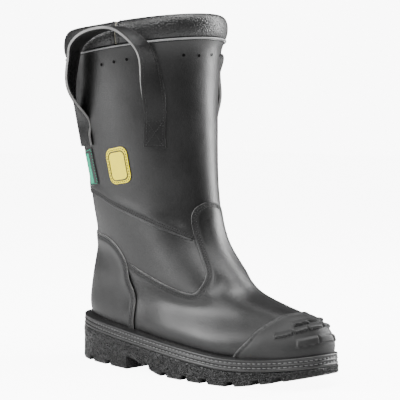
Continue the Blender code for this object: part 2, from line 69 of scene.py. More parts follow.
# The surface that the whole upper is pulled over. Rows run from the sole to the top edge: back x,
# back z, front x, front z, half width behind, half width in front, in mm from the back of the
# heel and above the heel seat.
last = {
    "rows": (
        (1.5, 0, 309, -9, 39.5, 51), (-3, 15, 311, 7, 40, 52), (-2, 35, 291, 26, 39, 40),
        (2, 55, 238, 40, 38.5, 44), (7, 77, 212, 59, 39, 46.5), (10, 102, 185, 89, 43, 48.5),
        (8.5, 129, 170, 129, 50, 51.5), (5, 167, 163, 175, 57.5, 58), (-2, 215, 159.5, 227, 66, 65),
        (-10, 262, 159.5, 279, 74, 71), (-15, 276, 165, 301, 77, 75.5),
    ),
    "heelCentre": 44,
    "heelSeat": 43,
    "heelDrop": 22,
    "toeRise": 13.5,
    "top": 10,
}
upper = {
    "leather": 1.5,        # what shows of a panel's thickness at its cut edge
    "overlap": 1.25,       # how far a panel's edge stands above the one under it
    "underlap": 5,
    "rowDistances": (2.6, 5.2),
    "liningInset": 5.7,
    "lining": 2.5,
    "wrinkle": 0.4,
}


def splineThrough(rows):
    rows = np.asarray(rows, float)
    count = len(rows)
    system = np.eye(count)
    right = np.zeros_like(rows)
    for i in range(1, count - 1):
        system[i, i - 1:i + 2] = (1, 4, 1)
        right[i] = 6 * (rows[i - 1] - 2 * rows[i] + rows[i + 1])
    return rows, np.linalg.solve(system, right)


def splineAt(spline, at):
    rows, bend = spline
    at = np.asarray(at, float)
    i = np.clip(np.floor(at).astype(int), 0, len(rows) - 2)
    t = (at - i)[..., None]
    s = 1 - t
    return s * rows[i] + t * rows[i + 1] + ((s**3 - s) * bend[i] + (t**3 - t) * bend[i + 1]) / 6


def smooth(t):
    t = np.clip(t, 0, 1)
    return t * t * (3 - 2 * t)


def softFloor(value):
    return (value + np.sqrt(value * value + 0.004)) / 2


lastSpline = splineThrough(last["rows"])


def placeX(x):
    return (np.asarray(x, float) - last["heelCentre"]) * mm


def soleTop(x):
    # height of the sole's top, where the upper stands
    along = np.asarray(x) / mm + last["heelCentre"]
    drop = last["heelDrop"] * (along - 69) / 241
    rise = last["toeRise"] * np.clip((along - 225) / 91, 0, 1.1) ** 1.6
    return (last["heelSeat"] - drop + rise) * mm


def collarSeat(x):
    # height of the slanted top edge of the shaft
    backX, backZ, frontX, frontZ = last["rows"][-1][:4]
    share = (np.asarray(x) - placeX(backX)) / (placeX(frontX) - placeX(backX))
    return (last["heelSeat"] + backZ + (frontZ - backZ) * share) * mm


def lastPoint(level, angle):
    # level counts the rows, angle is in degrees from the toe towards the inner side
    level, turn = np.broadcast_arrays(np.asarray(level, float), np.radians(angle))
    backX, backZ, frontX, frontZ, backHalf, frontHalf = np.moveaxis(splineAt(lastSpline, level), -1, 0)
    power = 2 / (2 + 0.5 * softFloor(1 - level / 4))
    cos = np.sign(np.cos(turn)) * np.abs(np.cos(turn)) ** power
    sin = np.sign(np.sin(turn)) * np.abs(np.sin(turn)) ** power
    forward = (1 + cos) / 2
    x = backX + (frontX - backX) * forward
    foot = softFloor(1 - level / 3)
    half = backHalf + (frontHalf - backHalf) * smooth((forward - 0.15) / 0.6)
    waist = 6 * np.exp(-(((x - 135) / 38) ** 2)) * foot * (sin > 0)
    inflare = 11 * np.clip((x - 170) / 140, 0, 1.2) ** 2 * np.clip(1 - (level - 4) / 2, 0, 1)
    y = inflare + (half - waist) * sin
    z = (last["heelSeat"] + backZ + (frontZ - backZ) * forward) * mm
    seatLine = (last["heelSeat"] - 9 * (x - 6) / 303) * mm
    return np.stack([placeX(x), y * mm, z + foot * (soleTop(placeX(x)) - seatLine)], -1)


def unit(vectors):
    return vectors / np.maximum(np.linalg.norm(vectors, axis=-1, keepdims=True), 1e-12)


def lastSteps(level, angle):
    # how the surface moves for one level and for one degree
    level = np.asarray(level, float)
    low = np.maximum(level - 0.02, 0)
    high = np.minimum(level + 0.02, last["top"])
    rise = (lastPoint(high, angle) - lastPoint(low, angle)) / (high - low)[..., None]
    around = lastPoint(level, angle + 0.5) - lastPoint(level, angle - 0.5)
    return rise, around


def lastNormal(level, angle):
    rise, around = lastSteps(level, angle)
    return unit(np.cross(around, rise))


def sway(points):
    # slight looseness of the leather
    found = []
    for point in points:
        near = Vector(point) / mm
        found.append(noise.noise(near / 41) + 0.35 * noise.noise(near / 15 + Vector((7, 3, 1))))
    return np.array(found) * upper["wrinkle"] * mm


def seamThrough(points, step=1.5):
    # evenly spaced (level, angle) points along a drawn seam
    spline = splineThrough(points)
    dense = splineAt(spline, np.linspace(0, len(points) - 1, 40 * (len(points) - 1) + 1))
    travelled = np.concatenate([[0], np.cumsum(np.linalg.norm(np.diff(lastPoint(*dense.T), axis=0), axis=1))])
    count = max(int(travelled[-1] / (step * mm)), 2)
    at = np.linspace(0, travelled[-1], count + 1)
    return np.stack([np.interp(at, travelled, dense[:, 0]), np.interp(at, travelled, dense[:, 1])], 1)


def levelRun(level, start, end, step=1.5):
    # straight run along a level or an angle
    return seamThrough(np.stack([np.linspace(level[0], level[1], 40), np.linspace(start, end, 40)], 1), step)


def shifted(seam, distance):
    # seam moved to the left of its direction along the surface
    level, angle = seam.T
    rise, around = lastSteps(level, angle)
    along = unit(np.gradient(lastPoint(level, angle), axis=0))
    left = np.cross(unit(np.cross(around, rise)), along) * distance * mm
    a, b, c = (rise * rise).sum(1), (rise * around).sum(1), (around * around).sum(1)
    p, q = (rise * left).sum(1), (around * left).sum(1)
    size = np.maximum(a * c - b * b, 1e-18)
    return seam + np.stack([(c * p - b * q) / size, (a * q - b * p) / size], 1)


def newObject(name, points, faces, finishes=(), slots=None):
    mesh = bpy.data.meshes.new(name)
    mesh.from_pydata(np.asarray(points, float).tolist(), [], [tuple(int(i) for i in face) for face in faces])
    for finish in finishes:
        mesh.materials.append(finish)
    if slots is not None:
        mesh.polygons.foreach_set("material_index", np.asarray(slots, np.int32))
    mesh.update()
    obj = bpy.data.objects.new(name, mesh)
    bpy.context.scene.collection.objects.link(obj)
    return obj


def finishMesh(obj, angle=42, merge=None):
    made = bmesh.new()
    made.from_mesh(obj.data)
    if merge:
        bmesh.ops.remove_doubles(made, verts=made.verts, dist=merge * mm)
    bmesh.ops.recalc_face_normals(made, faces=made.faces)
    if made.calc_volume(signed=True) < 0:
        bmesh.ops.reverse_faces(made, faces=made.faces)
    made.to_mesh(obj.data)
    made.free()
    obj.data.shade_smooth()
    obj.data.set_sharp_from_angle(angle=math.radians(angle))
    return obj


def give(obj, body, slot, *nodes):
    if body:
        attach(obj, body)
    if nodes:
        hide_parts(*nodes)
    return obj


# shader groups and finishes

def put(tree, kind, values=None, **settings):
    node = tree.nodes.new(kind)
    for key, value in settings.items():
        setattr(node, key, value)
    for key, value in (values or {}).items():
        socket = node.inputs[key]
        if isinstance(value, bpy.types.NodeSocket):
            tree.links.new(value, socket)
        else:
            socket.default_value = value
    return node


def newGroup(name, kind, inputs, outputs):
    tree = bpy.data.node_groups.new(name, kind)
    for socketName, socketType, value in inputs:
        socket = tree.interface.new_socket(socketName, in_out="INPUT", socket_type=socketType)
        if value is not None:
            socket.default_value = value
    for socketName, socketType in outputs:
        tree.interface.new_socket(socketName, in_out="OUTPUT", socket_type=socketType)
    return tree, put(tree, "NodeGroupInput"), put(tree, "NodeGroupOutput")


def calc(tree, operation, first, second=0.0):
    return put(tree, "ShaderNodeMath", {0: first, 1: second}, operation=operation).outputs[0]


def ramp(tree, value, low, high, first=0.0, second=1.0):
    node = put(tree, "ShaderNodeMapRange", {"Value": value, "From Min": low, "From Max": high,
                                            "To Min": first, "To Max": second})
    return node.outputs["Result"]


def makeLeatherGrain():
    tree, given, out = newGroup("leatherGrain", "ShaderNodeTree", (
        ("Pebbles", "NodeSocketFloat", 650.0), ("Pebble Depth", "NodeSocketFloat", 0.6),
        ("Pores", "NodeSocketFloat", 2400.0),
    ), (("Height", "NodeSocketFloat"), ("Tone", "NodeSocketFloat"), ("Patches", "NodeSocketFloat")))
    place = put(tree, "ShaderNodeTexCoord").outputs["Object"]
    drift = put(tree, "ShaderNodeTexNoise", {"Vector": place, "Scale": 160.0, "Detail": 2.0})
    moved = put(tree, "ShaderNodeVectorMath", {0: drift.outputs["Color"]}, operation="SCALE")
    moved.inputs["Scale"].default_value = 0.0016
    warped = put(tree, "ShaderNodeVectorMath", {0: place, 1: moved.outputs[0]}, operation="ADD")
    pebbles = put(tree, "ShaderNodeTexVoronoi", {
        "Vector": warped.outputs[0], "Scale": given.outputs["Pebbles"], "Randomness": 1.0,
    }, feature="SMOOTH_F1")
    pores = put(tree, "ShaderNodeTexNoise", {"Vector": place, "Scale": given.outputs["Pores"], "Detail": 2.0})
    patches = put(tree, "ShaderNodeTexNoise", {"Vector": place, "Scale": 28.0, "Detail": 3.0, "Roughness": 0.6})
    dome = ramp(tree, pebbles.outputs["Distance"], 0.1, 0.7, 1.0, 0.0)
    deep = calc(tree, "MULTIPLY", dome, given.outputs["Pebble Depth"])
    porous = calc(tree, "MULTIPLY", pores.outputs["Fac"], 0.3)
    tree.links.new(calc(tree, "ADD", deep, porous), out.inputs["Height"])
    tree.links.new(ramp(tree, dome, 0.1, 0.9), out.inputs["Tone"])
    tree.links.new(ramp(tree, patches.outputs["Fac"], 0.3, 0.7), out.inputs["Patches"])
    return tree


def makeEdgeWear():
    # the attribute "rim" is 1 on a piece's edge and fades to 0 a few mm inside it
    tree, given, out = newGroup("edgeWear", "ShaderNodeTree", (
        ("Amount", "NodeSocketFloat", 0.5), ("Breakup", "NodeSocketFloat", 300.0),
    ), (("Mask", "NodeSocketFloat"),))
    rim = put(tree, "ShaderNodeAttribute", attribute_name="rim").outputs["Fac"]
    place = put(tree, "ShaderNodeTexCoord").outputs["Object"]
    broken = put(tree, "ShaderNodeTexNoise", {
        "Vector": place, "Scale": given.outputs["Breakup"], "Detail": 4.0,
    })
    worn = calc(tree, "MULTIPLY", rim, ramp(tree, broken.outputs["Fac"], 0.35, 0.65))
    tree.links.new(calc(tree, "MULTIPLY", worn, given.outputs["Amount"]), out.inputs["Mask"])
    return tree


def makeRubberGrain():
    tree, given, out = newGroup("rubberGrain", "ShaderNodeTree", (
        ("Granules", "NodeSocketFloat", 700.0), ("Granule Depth", "NodeSocketFloat", 1.0),
    ), (("Height", "NodeSocketFloat"), ("Tone", "NodeSocketFloat"), ("Dust", "NodeSocketFloat")))
    place = put(tree, "ShaderNodeTexCoord").outputs["Object"]
    coarse = put(tree, "ShaderNodeTexVoronoi", {"Vector": place, "Scale": given.outputs["Granules"]})
    fine = put(tree, "ShaderNodeTexNoise", {"Vector": place, "Scale": 1800.0, "Detail": 3.0})
    dust = put(tree, "ShaderNodeTexNoise", {"Vector": place, "Scale": 45.0, "Detail": 5.0, "Roughness": 0.7})
    grains = ramp(tree, coarse.outputs["Distance"], 0.15, 0.6, 1.0, 0.0)
    raised = calc(tree, "MULTIPLY", grains, given.outputs["Granule Depth"])
    rough = calc(tree, "MULTIPLY", fine.outputs["Fac"], 0.35)
    tree.links.new(calc(tree, "ADD", raised, rough), out.inputs["Height"])
    tree.links.new(grains, out.inputs["Tone"])
    tree.links.new(ramp(tree, dust.outputs["Fac"], 0.45, 0.8), out.inputs["Dust"])
    return tree


def makeWeave():
    tree, given, out = newGroup("clothWeave", "ShaderNodeTree", (
        ("Threads", "NodeSocketFloat", 900.0),
    ), (("Height", "NodeSocketFloat"), ("Tone", "NodeSocketFloat")))
    place = put(tree, "ShaderNodeTexCoord").outputs["Object"]
    waves = []
    for direction in ("X", "Z", "Y"):
        wave = put(tree, "ShaderNodeTexWave", {
            "Vector": place, "Scale": given.outputs["Threads"], "Distortion": 0.6, "Detail": 1.0, "Detail Scale": 1.5,
        }, bands_direction=direction)
        waves.append(wave.outputs["Fac"])
    woven = calc(tree, "MAXIMUM", calc(tree, "MAXIMUM", waves[0], waves[1]), waves[2])
    fuzz = put(tree, "ShaderNodeTexNoise", {"Vector": place, "Scale": 2200.0, "Detail": 3.0}).outputs["Fac"]
    tree.links.new(calc(tree, "ADD", woven, calc(tree, "MULTIPLY", fuzz, 0.5)), out.inputs["Height"])
    tree.links.new(calc(tree, "MULTIPLY", woven, fuzz), out.inputs["Tone"])
    return tree


leatherGrain = makeLeatherGrain()
edgeWear = makeEdgeWear()
rubberGrain = makeRubberGrain()
clothWeave = makeWeave()


def newFinish(name, metallic=0.0, specular=0.5, sheen=0.0, coat=0.0, coatRoughness=0.3):
    made = bpy.data.materials.new(name)
    made.use_nodes = True
    tree = made.node_tree
    shader = tree.nodes["Principled BSDF"]
    shader.inputs["Metallic"].default_value = metallic
    shader.inputs["Specular IOR Level"].default_value = specular
    shader.inputs["Sheen Weight"].default_value = sheen
    shader.inputs["Coat Weight"].default_value = coat
    shader.inputs["Coat Roughness"].default_value = coatRoughness
    return made, tree, shader


def blendColour(tree, share, first, second):
    node = put(tree, "ShaderNodeMix", {0: share, 6: first, 7: second}, data_type="RGBA")
    return node.outputs[2]


def grey(value, tint=(1, 1, 1)):
    return tuple(value * t for t in tint) + (1,)


def bumped(tree, shader, height, distance, strength=1.0):
    node = put(tree, "ShaderNodeBump", {"Height": height, "Distance": distance * mm, "Strength": strength})
    tree.links.new(node.outputs["Normal"], shader.inputs["Normal"])


def leatherFinish(name, look):
    made, tree, shader = newFinish(name, specular=look["specular"], coat=look["coat"], coatRoughness=0.34)
    grain = put(tree, "ShaderNodeGroup", node_tree=leatherGrain)
    grain.inputs["Pebbles"].default_value = look["pebbles"]
    grain.inputs["Pebble Depth"].default_value = look["pebbleDepth"]
    wear = put(tree, "ShaderNodeGroup", node_tree=edgeWear)
    wear.inputs["Amount"].default_value = look["wear"]
    base = blendColour(tree, grain.outputs["Patches"], grey(look["dark"]), grey(look["light"], (1, 1, 1.03)))
    tone = calc(tree, "MULTIPLY", grain.outputs["Tone"], 0.35)
    toned = blendColour(tree, tone, base, grey(look["light"] * 1.5))
    worn = blendColour(tree, wear.outputs["Mask"], toned, grey(look["worn"]))
    # the attribute "sewn" is 1 along a stitch row, where the leather is pressed in; there the colour is painted near
    # black as shade in the groove, and the leather is duller
    row = put(tree, "ShaderNodeAttribute", attribute_name="sewn").outputs["Fac"]
    tree.links.new(blendColour(tree, row, worn, grey(0.001)), shader.inputs["Base Color"])
    low, high = look["roughness"]
    rough = ramp(tree, grain.outputs["Patches"], 0, 1, low, high)
    tree.links.new(calc(tree, "ADD", rough, calc(tree, "MULTIPLY", row, 0.5)), shader.inputs["Roughness"])
    bumped(tree, shader, grain.outputs["Height"], look["bump"])
    return made


def rubberFinish(name, look):
    made, tree, shader = newFinish(name, specular=look["specular"])
    grain = put(tree, "ShaderNodeGroup", node_tree=rubberGrain)
    grain.inputs["Granules"].default_value = look["granules"]
    grain.inputs["Granule Depth"].default_value = look["depth"]
    wear = put(tree, "ShaderNodeGroup", node_tree=edgeWear)
    wear.inputs["Amount"].default_value = look["wear"]
    tone = calc(tree, "MULTIPLY", grain.outputs["Tone"], 0.5)
    base = blendColour(tree, tone, grey(look["dark"]), grey(look["light"]))
    dust = calc(tree, "MULTIPLY", grain.outputs["Dust"], 0.35)
    dusty = blendColour(tree, dust, base, grey(look["light"] * 1.7))
    worn = blendColour(tree, wear.outputs["Mask"], dusty, grey(look["light"] * 7))
    tree.links.new(worn, shader.inputs["Base Color"])
    low, high = look["roughness"]
    tree.links.new(ramp(tree, grain.outputs["Dust"], 0, 1, low, high), shader.inputs["Roughness"])
    bumped(tree, shader, grain.outputs["Height"], look["bump"])
    return made


def clothFinish(name, look):
    made, tree, shader = newFinish(name, specular=0.2, sheen=look["sheen"])
    weave = put(tree, "ShaderNodeGroup", node_tree=clothWeave)
    weave.inputs["Threads"].default_value = look["threads"]
    base = blendColour(tree, weave.outputs["Tone"], look["dark"], look["light"])
    tree.links.new(base, shader.inputs["Base Color"])
    tree.links.new(ramp(tree, weave.outputs["Tone"], 0, 1, 0.95, 0.75), shader.inputs["Roughness"])
    bumped(tree, shader, weave.outputs["Height"], look["bump"])
    return made


def grainyFinish(name, look):
    # plain materials: thread, foam, board, metal and print, each with its own fine noise
    made, tree, shader = newFinish(name, metallic=look.get("metallic", 0.0), specular=look.get("specular", 0.5))
    place = put(tree, "ShaderNodeTexCoord").outputs["Object"]
    fine = put(tree, "ShaderNodeTexNoise", {
        "Vector": place, "Scale": look["scale"], "Detail": 4.0, "Roughness": 0.65,
    })
    broad = put(tree, "ShaderNodeTexNoise", {"Vector": place, "Scale": look["scale"] / 12, "Detail": 3.0})
    mixed = calc(tree, "ADD", calc(tree, "MULTIPLY", fine.outputs["Fac"], 0.6),
                 calc(tree, "MULTIPLY", broad.outputs["Fac"], 0.4))
    share = ramp(tree, mixed, 0.35, 0.65)
    tree.links.new(blendColour(tree, share, look["dark"], look["light"]), shader.inputs["Base Color"])
    low, high = look["roughness"]
    tree.links.new(ramp(tree, share, 0, 1, low, high), shader.inputs["Roughness"])
    bumped(tree, shader, fine.outputs["Fac"], look["bump"])
    return made


finish = {
    "leather": leatherFinish("oiledLeather", {
        "pebbles": 900, "pebbleDepth": 0.5, "dark": 0.004, "light": 0.008, "worn": 0.03, "wear": 0.6,
        "roughness": (0.36, 0.45), "specular": 0.5, "coat": 0.1, "bump": 0.13}),
    "collarLeather": leatherFinish("pebbledCollarLeather", {
        "pebbles": 620, "pebbleDepth": 1.0, "dark": 0.004, "light": 0.008, "worn": 0.03, "wear": 0.4,
        "roughness": (0.33, 0.43), "specular": 0.55, "coat": 0.1, "bump": 0.38}),
    "strapLeather": leatherFinish("strapLeather", {
        "pebbles": 700, "pebbleDepth": 0.7, "dark": 0.002, "light": 0.004, "worn": 0.02, "wear": 0.5,
        "roughness": (0.45, 0.55), "specular": 0.35, "coat": 0.0, "bump": 0.16}),
    "cutEdge": grainyFinish("cutLeatherEdge", {
        "scale": 1500, "dark": grey(0.14), "light": grey(0.3, (1, 0.99, 0.97)),
        "roughness": (0.5, 0.7), "bump": 0.08}),
    "thread": grainyFinish("waxedThread", {
        "scale": 3000, "dark": grey(0.004), "light": grey(0.014), "roughness": (0.4, 0.55), "bump": 0.05}),
    "piping": grainyFinish("reflectivePiping", {
        "scale": 2400, "dark": grey(0.2), "light": grey(0.34, (0.99, 1, 1.01)),
        "roughness": (0.35, 0.5), "bump": 0.04}),
    "welt": rubberFinish("weltRubber", {
        "granules": 1500, "depth": 0.3, "dark": 0.01, "light": 0.018, "wear": 0.3, "roughness": (0.36, 0.5),
        "specular": 0.55, "bump": 0.06}),
    # moulded welt stitches are the welt's own rubber; their much lighter grey is a painted highlight
    "weltStitchHighlight": grainyFinish("mouldedWeltStitchPaintedHighlight", {
        "scale": 1600, "dark": grey(0.08), "light": grey(0.16), "roughness": (0.35, 0.45), "bump": 0.05}),
    "sole": rubberFinish("granulatedSoleRubber", {
        "granules": 620, "depth": 1.0, "dark": 0.002, "light": 0.008, "wear": 0.9, "roughness": (0.28, 0.45),
        "specular": 0.6, "bump": 0.8}),
    "toeCap": rubberFinish("matteToeRubber", {
        "granules": 1300, "depth": 0.5, "dark": 0.014, "light": 0.02, "wear": 0.4, "roughness": (0.55, 0.68),
        "specular": 0.45, "bump": 0.07}),
    "lining": clothFinish("liningCloth", {
        "threads": 420, "dark": grey(0.02), "light": grey(0.11, (1, 1, 1.05)), "sheen": 0.25, "bump": 0.25}),
    "footbedCloth": clothFinish("footbedCloth", {
        "threads": 330, "dark": grey(0.03), "light": grey(0.16, (1, 1, 1.04)), "sheen": 0.2, "bump": 0.2}),
    "foam": grainyFinish("collarFoam", {
        "scale": 1200, "dark": grey(0.32, (1, 0.94, 0.72)), "light": grey(0.5, (1, 0.94, 0.75)),
        "roughness": (0.85, 0.98), "bump": 0.3}),
    "board": grainyFinish("fibreBoard", {
        "scale": 900, "dark": grey(0.2, (1, 0.66, 0.38)), "light": grey(0.34, (1, 0.7, 0.42)),
        "roughness": (0.8, 0.95), "bump": 0.15}),
    "steel": grainyFinish("brushedSteel", {
        "scale": 800, "dark": grey(0.45), "light": grey(0.62), "roughness": (0.25, 0.45),
        "bump": 0.03, "metallic": 1.0}),
    "yellow": grainyFinish("badgeYellow", {
        "scale": 1300, "dark": grey(1, (0.86, 0.70, 0.0)), "light": grey(1, (0.95, 0.80, 0.0)),
        "roughness": (0.42, 0.55), "bump": 0.06}),
    "badgeBlack": grainyFinish("badgeBlack", {
        "scale": 1300, "dark": grey(0.006), "light": grey(0.016), "roughness": (0.4, 0.55), "bump": 0.06}),
    "green": grainyFinish("labelGreen", {
        "scale": 1500, "dark": grey(1, (0.0, 0.28, 0.15)), "light": grey(1, (0.0, 0.38, 0.22)),
        "roughness": (0.5, 0.65), "bump": 0.08}),
    # near-black finish painted as the shade inside vent and footbed holes
    "dark": grainyFinish("ventShadow", {
        "scale": 900, "dark": grey(0.003), "light": grey(0.006), "roughness": (0.9, 1.0),
        "bump": 0.02, "specular": 0.05}),
}
print("finishes ready")


# geometry node trees

def makeStitchTree():
    # runs of thread: short rounded stitches spaced along edge lines
    tree, given, out = newGroup("stitchRun", "GeometryNodeTree", (
        ("Lines", "NodeSocketGeometry", None), ("Pitch", "NodeSocketFloat", 0.003),
        ("Length", "NodeSocketFloat", 0.0022), ("Thickness", "NodeSocketFloat", 0.0007),
        ("Thread", "NodeSocketMaterial", None),
    ), (("Stitches", "NodeSocketGeometry"),))
    curve = put(tree, "GeometryNodeMeshToCurve", {"Mesh": given.outputs["Lines"]})
    points = put(tree, "GeometryNodeCurveToPoints", {
        "Curve": curve.outputs[0], "Length": given.outputs["Pitch"],
    }, mode="LENGTH")
    ball = put(tree, "GeometryNodeMeshUVSphere", {"Segments": 6, "Rings": 5, "Radius": 0.5})
    size = put(tree, "ShaderNodeCombineXYZ", {
        "X": given.outputs["Thickness"], "Y": given.outputs["Thickness"], "Z": given.outputs["Length"]})
    placed = put(tree, "GeometryNodeInstanceOnPoints", {
        "Points": points.outputs["Points"], "Instance": ball.outputs["Mesh"],
        "Rotation": points.outputs["Rotation"], "Scale": size.outputs[0]})
    real = put(tree, "GeometryNodeRealizeInstances", {"Geometry": placed.outputs[0]})
    shaded = put(tree, "GeometryNodeSetShadeSmooth", {"Geometry": real.outputs[0]})
    coated = put(tree, "GeometryNodeSetMaterial", {
        "Geometry": shaded.outputs[0], "Material": given.outputs["Thread"],
    })
    tree.links.new(coated.outputs[0], out.inputs[0])
    return tree


def makeStudTree():
    # small round or long studs that stand on points and face along their "facing"
    tree, given, out = newGroup("studSet", "GeometryNodeTree", (
        ("Places", "NodeSocketGeometry", None), ("Width", "NodeSocketFloat", 0.003),
        ("Height", "NodeSocketFloat", 0.003), ("Depth", "NodeSocketFloat", 0.0006),
        ("Sides", "NodeSocketInt", 12), ("Coating", "NodeSocketMaterial", None),
    ), (("Studs", "NodeSocketGeometry"),))
    facing = put(tree, "GeometryNodeInputNamedAttribute", {"Name": "facing"}, data_type="FLOAT_VECTOR")
    turned = put(tree, "FunctionNodeAlignRotationToVector", {"Vector": facing.outputs[0]}, axis="Z")
    upright = put(tree, "FunctionNodeAlignRotationToVector", {
        "Rotation": turned.outputs[0], "Vector": (0, 0, 1)}, axis="Y", pivot_axis="Z")
    drum = put(tree, "GeometryNodeMeshCylinder", {
        "Vertices": given.outputs["Sides"], "Radius": 0.5, "Depth": 1.0,
    })
    size = put(tree, "ShaderNodeCombineXYZ", {
        "X": given.outputs["Width"], "Y": given.outputs["Height"], "Z": given.outputs["Depth"]})
    placed = put(tree, "GeometryNodeInstanceOnPoints", {
        "Points": given.outputs["Places"], "Instance": drum.outputs["Mesh"],
        "Rotation": upright.outputs[0], "Scale": size.outputs[0]})
    real = put(tree, "GeometryNodeRealizeInstances", {"Geometry": placed.outputs[0]})
    coated = put(tree, "GeometryNodeSetMaterial", {
        "Geometry": real.outputs[0], "Material": given.outputs["Coating"],
    })
    tree.links.new(coated.outputs[0], out.inputs[0])
    return tree


stitchRun = makeStitchTree()
studSet = makeStudTree()


def tubeFaces(count, stations):
    # faces of a tube of count rows along it, with both ends closed
    faces = [tuple(i * stations for i in range(count)),
             tuple(i * stations + stations - 1 for i in range(count))]
    for i in range(count):
        j = (i + 1) % count
        for k in range(stations - 1):
            near, far = i * stations + k, j * stations + k
            faces.append((near, near + 1, far + 1, far))
    return faces


def grown(name, source, tree, values):
    # plain mesh from a node tree run on a source object
    modifier = source.modifiers.new("grow", "NODES")
    modifier.node_group = tree
    for item in tree.interface.items_tree:
        if item.in_out == "INPUT" and item.name in values:
            modifier[item.identifier] = values[item.name]
    graph = bpy.context.evaluated_depsgraph_get()
    mesh = bpy.data.meshes.new_from_object(source.evaluated_get(graph))
    mesh.name = name
    bpy.data.objects.remove(source, do_unlink=True)
    obj = bpy.data.objects.new(name, mesh)
    bpy.context.scene.collection.objects.link(obj)
    return obj


def stitchObject(name, lines, thread, pitch, length, thickness):
    points, edges = [], []
    for line in lines:
        start = len(points)
        points.extend(np.asarray(line, float).tolist())
        edges.extend((start + i, start + i + 1) for i in range(len(line) - 1))
    mesh = bpy.data.meshes.new(name + "Lines")
    mesh.from_pydata(points, edges, [])
    source = bpy.data.objects.new(name + "Lines", mesh)
    bpy.context.scene.collection.objects.link(source)
    return grown(name, source, stitchRun, {
        "Pitch": pitch * mm, "Length": length * mm, "Thickness": thickness * mm, "Thread": thread})


def studObject(name, points, facing, coating, width, height, depth, sides=12):
    mesh = bpy.data.meshes.new(name + "Places")
    mesh.from_pydata(np.asarray(points, float).tolist(), [], [])
    held = mesh.attributes.new("facing", "FLOAT_VECTOR", "POINT")
    held.data.foreach_set("vector", np.asarray(facing, np.float32).ravel())
    source = bpy.data.objects.new(name + "Places", mesh)
    bpy.context.scene.collection.objects.link(source)
    return grown(name, source, studSet, {
        "Width": width * mm, "Height": height * mm, "Depth": depth * mm, "Sides": sides, "Coating": coating})


# leather panels

def insideOf(outline, points):
    found = np.zeros(len(points), bool)
    following = np.roll(outline, -1, 0)
    for (ax, ay), (bx, by) in zip(outline, following):
        if ay == by:
            continue
        crosses = (points[:, 1] < ay) != (points[:, 1] < by)
        at = ax + (points[:, 1] - ay) / (by - ay) * (bx - ax)
        found ^= crosses & (points[:, 0] < at)
    return found


def treeOf(points):
    tree = kdtree.KDTree(max(len(points), 1))
    for i, point in enumerate(points):
        tree.insert(Vector(point), i)
    tree.balance()
    return tree


def distanceTo(tree, points):
    return np.array([tree.find(Vector(point))[2] for point in points]) / mm


edgeRows = (0.5, 1.3, 2.2, 3.1, 4.2, 5.2, 6.4, 8)


